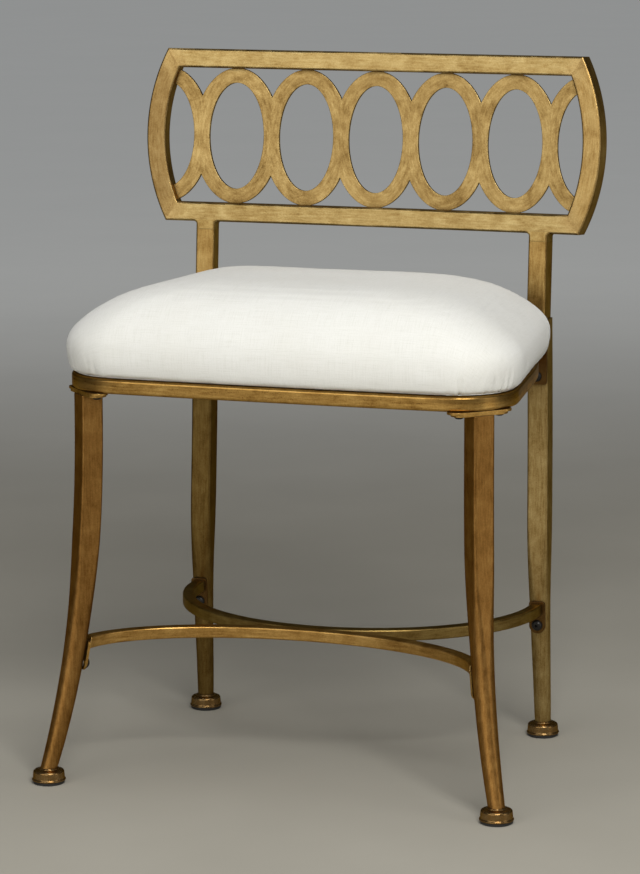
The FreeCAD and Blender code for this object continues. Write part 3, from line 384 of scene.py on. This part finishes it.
RING_R, RCX, RCY = 60.0, 170.0, -83.0
FRONT_R = 5780.0
SIDE = math.radians(8.0)
PHI = math.asin(RCX / (FRONT_R - RING_R))
FCY = RCY + (FRONT_R - RING_R) * math.cos(PHI)
REAR_Y, REAR_R, CENTRE_Y = 143.0, 31.0, -25.0
BOTTOM_Z, PAD_WIDE, PAD_CROWN, PAD_BULGE = 410.6, 445.76, 56.43, 5.88
PAD_N, PAD_M, SHOULDER, REACH = 4.586, 0.927, 8, 190.0


def pad_profile():
    """Rounded profile from the under edge to the crown, as (outward distance, height)."""
    t = np.linspace(math.pi / 2, 0, 41)
    low = np.stack([-1 + (PAD_BULGE + 1) * np.cos(t), PAD_WIDE - (PAD_WIDE - BOTTOM_Z) * np.sin(t)], 1)
    d = np.concatenate([0.0005 + 0.0295 * np.arange(1, 25) / 24, 0.03 + 0.97 * np.arange(1, 91) / 90])
    rho = np.maximum(0, 1 - d)
    raw = np.vstack([low, np.stack([PAD_BULGE - d * REACH, PAD_WIDE + PAD_CROWN * (1 - rho ** PAD_N) ** PAD_M], 1)])
    cum = np.concatenate([[0], np.cumsum(np.hypot(*np.diff(raw, axis=0).T))])
    q = np.arange(int(cum[-1]) + 1.0)
    even = np.stack([np.interp(q, cum, raw[:, 0]), np.interp(q, cum, raw[:, 1])], 1)
    n = 3 * SHOULDER
    w = np.exp(-0.5 * (np.arange(-n, n + 1) / SHOULDER) ** 2)
    w /= w.sum()
    lead = 2 * even[0] - even[n:0:-1]
    tail = even[-2:-n - 2:-1].copy()
    tail[:, 0] = 2 * even[-1, 0] - tail[:, 0]
    full = np.vstack([lead, even, tail])
    return np.stack([np.convolve(full[:, 0], w, "valid"), np.convolve(full[:, 1], w, "valid")], 1)


PROFILE = pad_profile()
WIDE_I = int(PROFILE[:, 0].argmax())
WIDE_OFF, WIDE_Z = PROFILE[WIDE_I]


def outline(off, count):
    """Closed seat outline in the stool's own millimetres, evenly spaced from the middle of the front."""
    r, rr = RING_R + off, REAR_R + off
    right = []
    for i in range(25):
        t = PHI * i / 24.0
        right.append(((FRONT_R + off) * math.sin(t), FCY - (FRONT_R + off) * math.cos(t)))
    a0, a1 = -math.pi / 2 + PHI, SIDE
    for i in range(1, 49):
        t = a0 + (a1 - a0) * i / 48.0
        right.append((RCX + r * math.cos(t), RCY + r * math.sin(t)))
    nx, ny = math.cos(SIDE), math.sin(SIDE)
    d = nx * RCX + ny * RCY + RING_R
    yc = REAR_Y - REAR_R
    xc = (d - REAR_R - ny * yc) / nx
    for i in range(49):
        t = SIDE + (math.pi / 2 - SIDE) * i / 48.0
        right.append((xc + rr * math.cos(t), yc + rr * math.sin(t)))
    right.append((0.0, REAR_Y + off))
    pts = np.array(right + [(-x, y) for x, y in right[-2:0:-1]])
    nxt = np.roll(pts, -1, axis=0)
    seg = np.hypot(*(nxt - pts).T)
    cum = np.concatenate([[0], np.cumsum(seg)])
    s = np.arange(count) * cum[-1] / count
    loop = np.vstack([pts, pts[:1]])
    return np.stack([np.interp(s, cum, loop[:, 0]), np.interp(s, cum, loop[:, 1])], 1), cum[-1]


def pad_rows(shrink, pace=1):
    """Profile rows (offset, plan scale, height) from the under edge to the crown."""
    rows = []
    for k in range(0, WIDE_I + 1, 2 * pace):
        rows.append((PROFILE[k, 0] - shrink, 1.0, PROFILE[k, 1]))
    last = WIDE_I
    for k in range(WIDE_I + 1, len(PROFILE)):
        rho = 1 - (WIDE_OFF - PROFILE[k, 0]) / REACH
        if k - last < (2 * pace if rho > 0.85 else 5 * pace) or rho < 0.03:
            continue
        last = k
        rows.append((WIDE_OFF - shrink, rho, PROFILE[k, 1] - shrink * (1 - rho ** 6)))
    return rows


def pad_form(shrink, count):
    vs, fs = [], []
    rows = pad_rows(shrink)
    for off, rho, z in rows:
        o, _ = outline(off, count)
        for x, y in o:
            vs.append((x * rho * MM, (CENTRE_Y + (y - CENTRE_Y) * rho) * MM + SHIFT, z * MM))
    m = len(rows)
    for r in range(m - 1):
        for i in range(count):
            j = (i + 1) % count
            fs.append((r * count + i, r * count + j, (r + 1) * count + j, (r + 1) * count + i))
    top = len(vs)
    vs.append((0, CENTRE_Y * MM + SHIFT, (PROFILE[-1, 1] - shrink) * MM))
    low = len(vs)
    vs.append((0, CENTRE_Y * MM + SHIFT, BOTTOM_Z * MM))
    for i in range(count):
        j = (i + 1) % count
        fs.append(((m - 1) * count + i, (m - 1) * count + j, top))
        fs.append((j, i, low))
    return vs, fs


def apply_mods(ob):
    dg = bpy.context.evaluated_depsgraph_get()
    me = bpy.data.meshes.new_from_object(ob.evaluated_get(dg))
    ob.modifiers.clear()
    old = ob.data
    ob.data = me
    bpy.data.meshes.remove(old)


vs, fs = pad_form(0.0, 240)
pad = add_mesh("seat_pad_linen", vs, fs)
rm = pad.modifiers.new("remesh", "REMESH")
rm.mode = "VOXEL"
rm.voxel_size = 0.0042
rm.use_smooth_shade = True
apply_mods(pad)

co0 = np.zeros(len(pad.data.vertices) * 3)
pad.data.vertices.foreach_get("co", co0)
co0 = co0.reshape(-1, 3)

OUT, PERIM = outline(0.0, 1440)
OUTV = np.roll(OUT, -1, axis=0) - np.roll(OUT, 1, axis=0)
OUTN = np.stack([OUTV[:, 1], -OUTV[:, 0]], 1)
OUTN /= np.hypot(*OUTN.T)[:, None]


def nearest(co):
    """For each point, the outline index nearest in plan."""
    xy = np.stack([co[:, 0] / MM, (co[:, 1] - SHIFT) / MM], 1)
    idx = np.zeros(len(xy), int)
    for a in range(0, len(xy), 4000):
        d = ((xy[a:a + 4000, None, :] - OUT[None, ::4, :]) ** 2).sum(2)
        idx[a:a + 4000] = d.argmin(1) * 4
    return idx, xy


def evened(me, field, rounds):
    """The slow part of a per-vertex vector field."""
    ed = np.zeros(len(me.edges) * 2, np.int64)
    me.edges.foreach_get("vertices", ed)
    a, b = ed[::2], ed[1::2]
    n = len(me.vertices)
    deg = np.maximum(np.bincount(a, minlength=n) + np.bincount(b, minlength=n), 1)
    f = field.copy()
    for _ in range(rounds):
        acc = np.stack([np.bincount(a, weights=f[b, k], minlength=n) + np.bincount(b, weights=f[a, k], minlength=n)
                        for k in range(3)], 1)
        f = 0.5 * f + 0.5 * acc / deg[:, None]
    return f


def cloth(ob, frames, cap):
    """Blow the linen up against its own tension, pinned where it is stapled under."""
    me = ob.data
    pin = ob.vertex_groups.new(name="pin")
    for v in me.vertices:
        z = v.co.z / MM
        w = 1.0 if z < BOTTOM_Z + 3.5 else max(0.0, 1 - (z - BOTTOM_Z - 3.5) / 5.0)
        if w > 0:
            pin.add([v.index], w, "REPLACE")
    gather = ob.vertex_groups.new(name="gather")
    rnd = random.Random(7)
    idx, xy = nearest(co0)
    for v in me.vertices:
        z = v.co.z / MM
        n = OUTN[idx[v.index]]
        corner = min(1.0, 3.2 * abs(n[0] * n[1]))
        low = max(0.0, 1 - (z - BOTTOM_Z) / 26.0)
        gather.add([v.index], min(1.0, corner * low + 0.12 * low), "REPLACE")
    m = ob.modifiers.new("cloth", "CLOTH")
    s = m.settings
    s.quality = 5
    s.mass = 0.3
    s.tension_stiffness = 18
    s.compression_stiffness = 14
    s.shear_stiffness = 6
    s.bending_stiffness = 0.35
    s.use_pressure = True
    s.uniform_pressure_force = 3.0
    s.vertex_group_mass = "pin"
    s.pin_stiffness = 1.0
    s.vertex_group_shrink = "gather"
    s.shrink_min = 0.0
    s.shrink_max = -0.05
    s.effector_weights.gravity = 0.0
    m.collision_settings.use_collision = False
    m.collision_settings.use_self_collision = False
    m.point_cache.frame_start = 1
    m.point_cache.frame_end = frames
    sc = bpy.context.scene
    for f in range(1, frames + 1):
        sc.frame_set(f)
    apply_mods(ob)
    sc.frame_set(1)
    c = np.zeros(len(ob.data.vertices) * 3)
    ob.data.vertices.foreach_get("co", c)
    c = c.reshape(-1, 3)
    # keep the creases that the tension makes, and hold the fitted overall shape
    d = c - co0
    d -= evened(ob.data, d, 28)
    low = np.clip(1 - (co0[:, 2] / MM - BOTTOM_Z - 8) / 34.0, 0, 1)
    cn = np.clip(3.4 * np.abs(OUTN[idx, 0] * OUTN[idx, 1]), 0, 1)
    d *= (0.25 + 0.75 * low * (0.35 + 0.65 * cn))[:, None]
    ln = np.linalg.norm(d, axis=1)
    k = np.where(ln > cap, cap / np.maximum(ln, 1e-9), 1.0)
    c = co0 + d * k[:, None]
    ob.data.vertices.foreach_set("co", c.reshape(-1))
    ob.data.update()
    return ln


moved = cloth(pad, 20, 0.0012)
print("creases, mean and largest, mm:", round(moved.mean() * 1000, 2), round(moved.max() * 1000, 2))

# leave only the shell above the board: the turned-in hem is its own strip
bm = bmesh.new()
bm.from_mesh(pad.data)
kill = [f for f in bm.faces if f.calc_center_median().z < (BOTTOM_Z + 0.9) * MM and f.normal.z < -0.5]
bmesh.ops.delete(bm, geom=kill, context="FACES")
bm.to_mesh(pad.data)
bm.free()
sub = pad.modifiers.new("sub", "SUBSURF")
sub.levels = sub.render_levels = 1
apply_mods(pad)

# gathers at the corners where the cloth is folded under, softer ones along the straight edges
me = pad.data
nv = len(me.vertices)
c = np.zeros(nv * 3)
me.vertices.foreach_get("co", c)
c = c.reshape(-1, 3)
nr = np.zeros(nv * 3)
me.vertices.foreach_get("normal", nr)
nr = nr.reshape(-1, 3)
idx, xy = nearest(c)
rnd = random.Random(21)
s_along = idx / 1440.0 * PERIM
corner = np.clip(3.4 * np.abs(OUTN[idx, 0] * OUTN[idx, 1]), 0, 1)
fold = np.zeros(nv)
pos = 0.0
while pos < PERIM:
    i = int(pos / PERIM * 1440) % 1440
    cn = min(1.0, 3.4 * abs(OUTN[i, 0] * OUTN[i, 1]))
    width = rnd.uniform(2.2, 4.4) if cn > 0.25 else rnd.uniform(4, 9)
    depth = (rnd.uniform(1.1, 2.6) * cn + rnd.uniform(0.10, 0.45) * (1 - cn))
    reach = rnd.uniform(8, 20) * (0.6 + 0.4 * cn)
    ds = (s_along - pos + PERIM / 2) % PERIM - PERIM / 2
    up = np.clip((c[:, 2] / MM - BOTTOM_Z) / reach, 0, 3)
    fold += depth * np.exp(-(ds / width) ** 2) * np.exp(-up ** 1.5 * 1.4) * (c[:, 2] / MM < BOTTOM_Z + 60)
    pos += rnd.uniform(6.5, 11.5) if cn > 0.25 else rnd.uniform(22, 50)
c = c - nr * (fold * MM)[:, None]
# the crown runs over smoothly towards the corners
zf = np.zeros((nv, 3))
zf[:, 2] = c[:, 2]
up_w = np.clip((c[:, 2] / MM - PAD_WIDE - 16) / 16.0, 0, 1)
zf = evened(me, zf, 80)
c[:, 2] += (zf[:, 2] - c[:, 2]) * up_w
# faint unevenness of the padding under the cloth
for i in range(nv):
    q = Vector(c[i]) * 22.0
    c[i] += nr[i] * (noise.noise(q) * 0.00045 + noise.noise(q * 2.9) * 0.00012)
c[:, 2] = np.maximum(c[:, 2], (BOTTOM_Z - 0.1) * MM)
# the cloth turns in under the edge and stands a little off the tube below
turn = np.clip(1 - (c[:, 2] / MM - BOTTOM_Z) / 4.2, 0, 1) ** 1.4 * 3.0
wavy = 1 + 0.18 * np.sin(s_along * 0.21) + 0.12 * np.sin(s_along * 0.083 + 1.0)
c[:, 0] -= OUTN[idx, 0] * turn * wavy * MM
c[:, 1] -= OUTN[idx, 1] * turn * wavy * MM
me.vertices.foreach_set("co", c.reshape(-1))

# thread coordinates: plan position, carried on down the sides along the outline's normal
rows = pad_rows(0.0)[::-1]
zz, ee = [], []
e = 0.0
last = None
for off, rho, z in rows:
    y = CENTRE_Y + ((-146.0 - off) - CENTRE_Y) * rho
    if last is not None:
        dy, dz = y - last[0], z - last[1]
        e += math.hypot(dy, dz) - abs(dy) * (1 if z > WIDE_Z else -1)
    zz.append(z)
    ee.append(e)
    last = (y, z)
zz, ee = np.array(zz)[::-1], np.array(ee)[::-1]
E = np.interp(c[:, 2] / MM, zz, ee)
U = (xy[:, 0] + OUTN[idx, 0] * E).astype(np.float32)
W = (xy[:, 1] + OUTN[idx, 1] * E).astype(np.float32)
for nm, arr in (("thread_u", U), ("thread_v", W)):
    at = me.attributes.new(nm, "FLOAT", "POINT")
    at.data.foreach_set("value", arr)
me.polygons.foreach_set("use_smooth", [True] * len(me.polygons))
me.update()


def linen(name, by_attribute=True):
    b = NT(name)
    if by_attribute:
        au = b.n("Attribute")
        au.attribute_name = "thread_u"
        av = b.n("Attribute")
        av.attribute_name = "thread_v"
        u, v = au.outputs["Fac"], av.outputs["Fac"]
    else:
        x, y, z = b.sep(b.coords())
        u, v = b.math("MULTIPLY", x, 1000.0), b.math("MULTIPLY", y, 1000.0)
    uv = b.comb(u, v, 0.0)
    wob = b.noise(b.scaled(uv, (0.06, 0.06, 1)), 1.0, 2.0, 0.5)
    u2 = b.math("ADD", u, b.math("MULTIPLY", wob, 1.6))
    v2 = b.math("ADD", v, b.math("MULTIPLY", wob, -1.3))
    T = 0.78
    ut, vt = b.math("DIVIDE", u2, T), b.math("DIVIDE", v2, T)
    a = b.math("ABSOLUTE", b.math("SINE", b.math("MULTIPLY", ut, math.pi)))
    c = b.math("ABSOLUTE", b.math("SINE", b.math("MULTIPLY", vt, math.pi)))
    par = b.math("PINGPONG", b.math("ADD", b.math("FLOOR", ut), b.math("FLOOR", vt)), 1.0)
    over = b.n("Mix", data_type="FLOAT")
    b.link(par, over.inputs[0])
    b.link(a, over.inputs[2])
    b.link(c, over.inputs[3])
    weave = over.outputs[0]
    warp = b.noise(b.scaled(uv, (1.30, 0.040, 1)), 1.0, 3.0, 0.65)
    weft = b.noise(b.scaled(uv, (0.034, 1.30, 1), loc=(7, 3, 0)), 1.0, 3.0, 0.65)
    slub_v = b.step(warp, 0.60, 0.72)
    slub_u = b.step(weft, 0.58, 0.72)
    grain = b.noise(b.scaled(uv, (0.55, 0.55, 1)), 1.0, 3.0, 0.7)
    cloudy = b.noise(b.scaled(uv, (0.012, 0.012, 1)), 1.0, 2.0, 0.5)
    base = b.ramp(b.math("ADD", b.math("MULTIPLY", warp, 0.5), b.math("MULTIPLY", weft, 0.5)),
                  [(0.34, srgb(227, 227, 220)), (0.50, srgb(239, 239, 234)), (0.66, srgb(245, 245, 241))])
    col = b.mix(b.step(grain, 0.50, 0.75, 0.0, 0.26), base, srgb(219, 218, 210))
    col = b.mix(b.math("MULTIPLY", b.math("MAXIMUM", slub_v, slub_u), 0.32), col, srgb(214, 212, 201))
    col = b.mix(b.step(weave, 0.0, 0.55, 0.26, 0.0), col, srgb(198, 196, 186))
    col = b.mix(b.step(cloudy, 0.35, 0.65, 0.0, 0.16), col, srgb(228, 226, 216))
    h = b.math("ADD", b.math("MULTIPLY", weave, 0.6),
               b.math("ADD", b.math("MULTIPLY", slub_v, 0.5), b.math("MULTIPLY", slub_u, 0.5)))
    h = b.math("ADD", h, b.math("MULTIPLY", grain, 0.5))
    nrm = b.bump(h, 0.62, 0.00026)
    p = b.n("BsdfPrincipled")
    b.link(col, p.inputs["Base Color"])
    p.inputs["Roughness"].default_value = 0.92
    p.inputs["Sheen Weight"].default_value = 0.25
    p.inputs["Sheen Roughness"].default_value = 0.5
    p.inputs["Specular IOR Level"].default_value = 0.2
    b.link(nrm, p.inputs["Normal"])
    b.link(p.outputs[0], b.out.inputs["Surface"])
    return b.mat


LINEN = linen("linen")
pad.data.materials.append(LINEN)
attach(pad, "root")
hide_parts("seat_cover")

# the hem turned in under the board, with small pleats at the corners, and its staples
hv, hf = [], []
CNT = 720
levels = [(-30.0, 411.3), (-30.4, 411.0), (-30.2, 410.7), (-26.0, 410.62), (-18.0, 410.60), (-10.0, 410.60), (-6.0, 410.62), (-4.0, 411.2)]
rnd = random.Random(5)
amp = [rnd.uniform(0.3, 1.0) for _ in range(CNT)]
for k, (off, z) in enumerate(levels):
    o, _ = outline(off, CNT)
    for i, (x, y) in enumerate(o):
        q = i * 1440 // CNT
        cn = min(1.0, 3.4 * abs(OUTN[q, 0] * OUTN[q, 1]))
        wave = 0.28 * cn * amp[i // 6 * 6] * math.sin(i * 1.05) * (1 if 2 <= k <= 6 else 0.4)
        ragged = 0.6 * math.sin(i * 0.37) * math.sin(i * 0.11 + 1) if k < 3 else 0
        nx, ny = OUTN[q]
        hv.append(((x - nx * ragged) * MM, (y - ny * ragged) * MM + SHIFT, (z + 0.28 * cn * 0 + max(wave, 0)) * MM))
for r in range(len(levels) - 1):
    for i in range(CNT):
        j = (i + 1) % CNT
        hf.append((r * CNT + i, (r + 1) * CNT + i, (r + 1) * CNT + j, r * CNT + j))
hem = add_mesh("seat_pad_hem", hv, hf)
so = hem.modifiers.new("thick", "SOLIDIFY")
so.thickness = 0.0006
so.offset = 1.0
apply_mods(hem)
hem.data.materials.append(linen("linen_hem", False))
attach(hem, "root")

sv, sf = [], []
o, per = outline(-14.0, 96)
for i in range(96):
    x, y = o[i]
    q = i * 15
    nx, ny = OUTN[q]
    tx, ty = -ny, nx
    ang = rnd.uniform(-0.35, 0.35)
    dx, dy = tx * math.cos(ang) - ty * math.sin(ang), tx * math.sin(ang) + ty * math.cos(ang)
    ex, ey = -dy, dx
    k = len(sv)
    for a, bb, z in ((-5, -0.5, 410.55), (5, -0.5, 410.55), (5, 0.5, 410.55), (-5, 0.5, 410.55),
                     (-5, -0.5, 410.25), (5, -0.5, 410.25), (5, 0.5, 410.25), (-5, 0.5, 410.25)):
        sv.append(((x + dx * a + ex * bb) * MM, (y + dy * a + ey * bb) * MM + SHIFT, z * MM))
    sf += [(k, k + 3, k + 2, k + 1), (k + 4, k + 5, k + 6, k + 7), (k, k + 1, k + 5, k + 4),
           (k + 1, k + 2, k + 6, k + 5), (k + 2, k + 3, k + 7, k + 6), (k + 3, k, k + 4, k + 7)]
staples = add_mesh("seat_pad_staples", sv, sf, smooth=False)
staples.data.materials.append(ZINC)
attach(staples, "root")

# the posts run into the bottom rail with a small ground fillet on each side
R_BACK, POST_AT, LEAN = 2200.0, 182.6, math.radians(4.5)
AXIS = R_BACK * (1 - math.cos(math.asin(POST_AT / R_BACK))) - R_BACK
for nm, sd in (("right", 1), ("left", -1)):
    jv, jf = [], []
    loops = []
    for depth, ins in ((-10.06, 2.0), (-9.47, 0.6), (-8.06, 0.0), (8.06, 0.0), (9.47, 0.6), (10.06, 2.0)):
        half = [(10.04 - ins, 2.0), (10.04 - ins, 7.05)]
        for k in range(1, 9):
            q = math.radians(180 - 90 * k / 8.0)
            half.append((13.2 + (3.16 + ins) * math.cos(q), 7.05 + (3.16 + ins) * math.sin(q)))
        half.append((13.2, 12.6))
        loops.append((depth, half + [(-u, w) for u, w in half[::-1]]))
    cnt = len(loops[0][1])
    t0 = math.asin(sd * POST_AT / R_BACK)
    for depth, loop in loops:
        for u, w in loop:
            t = t0 + u / R_BACK
            lx, ly = (R_BACK + depth) * math.sin(t), AXIS + (R_BACK + depth) * math.cos(t)
            jv.append((lx * MM, (169.73 + ly * math.cos(LEAN) + w * math.sin(LEAN)) * MM + SHIFT,
                       (520.0 + w * math.cos(LEAN) - ly * math.sin(LEAN)) * MM))
    for r in range(len(loops) - 1):
        for i in range(cnt):
            j = (i + 1) % cnt
            jf.append((r * cnt + i, r * cnt + j, (r + 1) * cnt + j, (r + 1) * cnt + i))
    jf.append(tuple(range(cnt))[::-1])
    jf.append(tuple((len(loops) - 1) * cnt + i for i in range(cnt)))
    fillet = add_mesh("back_joint_" + nm, jv, jf, smooth=False)
    fillet.data.materials.append(MATS["joint"])
    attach(fillet, "root")

# rough weld where each leg meets the cap of its foot
for nm, bx, by, br in (("front_right", 233.7, -174.1, 8.6), ("front_left", -233.7, -174.1, 8.6),
                       ("rear_right", 189.0, 155.7, 8.9), ("rear_left", -189.0, 155.7, 8.9)):
    wv, wf = [], []
    for i in range(72):
        t = math.radians(5 * i)
        lump = 1.0 + 0.30 * noise.noise(Vector((math.cos(t) * 3.1, math.sin(t) * 3.1, bx * 0.1)))
        for j in range(10):
            q = math.radians(36 * j)
            rr = 1.25 * lump
            wv.append(((bx + (br + rr * math.cos(q)) * math.cos(t)) * MM, (by + (br + rr * math.cos(q)) * math.sin(t)) * MM,
                       (14.7 + rr * math.sin(q)) * MM))
    for i in range(72):
        for j in range(10):
            k, m = (i + 1) % 72, (j + 1) % 10
            wf.append((i * 10 + j, k * 10 + j, k * 10 + m, i * 10 + m))
    bead = add_mesh("foot_weld_" + nm, wv, wf)
    bead.data.materials.append(MATS["foot"])
    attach(bead, "root")

b = NT("dust_cloth")
co = b.coords()
n1 = b.noise(b.scaled(co, (900, 900, 900)), 1.0, 4.0, 0.7)
n2 = b.noise(b.scaled(co, (14, 14, 14)), 1.0, 2.0, 0.5)
p = b.n("BsdfPrincipled")
b.link(b.ramp(n1, [(0.3, (0.006, 0.006, 0.007, 1)), (0.7, (0.03, 0.03, 0.032, 1))]), p.inputs["Base Color"])
p.inputs["Roughness"].default_value = 0.95
h = b.math("ADD", b.math("MULTIPLY", n1, 0.4), b.math("MULTIPLY", n2, 3.0))
b.link(b.bump(h, 0.5, 0.0006), p.inputs["Normal"])
b.link(p.outputs[0], b.out.inputs["Surface"])
assign("seat_dust_cloth", b.mat)

b = NT("birch_ply")
co = b.coords()
x, y, z = b.sep(co)
ply = b.math("FRACT", b.math("MULTIPLY", z, 1000.0 / 2.4))
grain = b.noise(b.scaled(co, (12, 300, 900)), 1.0, 4.0, 0.6)
col = b.ramp(grain, [(0.3, srgb(196, 160, 112)), (0.7, srgb(222, 192, 146))])
col = b.mix(b.step(ply, 0.45, 0.55, 0.0, 0.35), col, srgb(150, 112, 72))
p = b.n("BsdfPrincipled")
b.link(col, p.inputs["Base Color"])
p.inputs["Roughness"].default_value = 0.7
b.link(b.bump(grain, 0.3, 0.0003), p.inputs["Normal"])
b.link(p.outputs[0], b.out.inputs["Surface"])
assign("seat_board", b.mat)

b = NT("foam")
co = b.coords()
vor = b.n("TexVoronoi")
b.link(b.scaled(co, (900, 900, 900)), vor.inputs["Vector"])
p = b.n("BsdfPrincipled")
b.link(b.ramp(vor.outputs["Distance"], [(0.1, srgb(206, 196, 150)), (0.6, srgb(232, 224, 190))]), p.inputs["Base Color"])
p.inputs["Roughness"].default_value = 0.95
b.link(b.bump(vor.outputs["Distance"], 0.5, 0.0006), p.inputs["Normal"])
b.link(p.outputs[0], b.out.inputs["Surface"])
assign("seat_foam", b.mat)


# ---------------------------------------------------------------------------
# floor, light and camera
# ---------------------------------------------------------------------------
b = NT("floor_pale")
co = b.coords()
n1 = b.noise(b.scaled(co, (3, 3, 3)), 1.0, 3.0, 0.5)
col = b.ramp(n1, [(0.3, srgb(174, 170, 158)), (0.7, srgb(182, 178, 166))])
x, y, z = b.sep(co)
# painted light: lighter from 2 cm up, for a brighter upper backdrop; the level floor stays at z 0, so this does not
# show
col = b.mix(b.step(z, 0.02, 0.5), col, srgb(198, 202, 204))
# painted light: the floor glows more towards the back, standing in for a brightly lit backdrop
painted_glow = b.step(y, 0.8, 3.8, 0.0, 0.25)
p = b.n("BsdfPrincipled")
b.link(col, p.inputs["Base Color"])
p.inputs["Roughness"].default_value = 0.75
p.inputs["Emission Color"].default_value = (0.97, 1.0, 1.01, 1.0)
b.link(painted_glow, p.inputs["Emission Strength"])
b.link(p.outputs[0], b.out.inputs["Surface"])
# a wide level floor that fills the picture and hides nothing from any side
vs = [(-30, -30, 0), (30, -30, 0), (30, 30, 0), (-30, 30, 0)]
fs = [(0, 1, 2, 3)]
floor = add_mesh("floor", vs, fs)
floor.rotation_euler = (0, 0, math.radians(18.87))
floor.data.materials.append(b.mat)


def area(name, loc, target, size, size_y, power, color=(1, 1, 1)):
    li = bpy.data.lights.new(name, "AREA")
    li.shape = "RECTANGLE"
    li.size, li.size_y = size, size_y
    li.energy = power
    li.color = color
    ob = bpy.data.objects.new(name, li)
    ob.location = loc
    d = Vector(target) - Vector(loc)
    ob.rotation_euler = d.to_track_quat("-Z", "Y").to_euler()
    bpy.context.scene.collection.objects.link(ob)
    return ob


def around(az, dist, z):
    a = math.radians(az)
    return (dist * math.sin(a), -dist * math.cos(a), z)


area("key", around(30, 2.4, 2.1), (0, 0, 0.4), 1.3, 1.3, 59, (1.0, 0.99, 0.965))
area("front_box", around(-14, 3.2, 1.25), (0, 0, 0.45), 3.0, 1.8, 33, (1.0, 0.995, 0.98))
area("right_box", around(76, 2.6, 0.8), (0, 0, 0.4), 1.0, 1.6, 7, (1.0, 0.99, 0.97))
area("top", (0.1, -0.1, 2.7), (0, 0, 0.4), 1.7, 1.7, 13, (1.0, 1.0, 1.0))
world = bpy.data.worlds.new("studio")
world.use_nodes = True
world.node_tree.nodes["Background"].inputs[0].default_value = (0.80, 0.81, 0.83, 1)
world.node_tree.nodes["Background"].inputs[1].default_value = 0.08
bpy.context.scene.world = world

az, dist, cz = math.radians(18.86993), 3.645738, 0.998987
pitch, roll = math.radians(10.29068), math.radians(-0.26615)
loc = Vector((dist * math.sin(az), -dist * math.cos(az) + SHIFT, cz))
fwd = Vector((-math.sin(az) * math.cos(pitch), math.cos(az) * math.cos(pitch), -math.sin(pitch)))
right = Vector((math.cos(az), math.sin(az), 0))
up = right.cross(fwd)
r2 = right * math.cos(roll) + up * math.sin(roll)
u2 = -right * math.sin(roll) + up * math.cos(roll)
cam = bpy.data.cameras.new("camera")
cam.sensor_width = 36.0
cam.lens = 3671.155 / 874.0 * 36.0
cam.clip_start, cam.clip_end = 0.1, 40
cam_ob = bpy.data.objects.new("camera", cam)
cam_ob.matrix_world = Matrix(((r2.x, u2.x, -fwd.x, loc.x), (r2.y, u2.y, -fwd.y, loc.y),
                              (r2.z, u2.z, -fwd.z, loc.z), (0, 0, 0, 1)))
bpy.context.scene.collection.objects.link(cam_ob)
bpy.context.scene.camera = cam_ob
bpy.context.scene.view_settings.view_transform = "Standard"
bpy.context.scene.view_settings.look = "None"
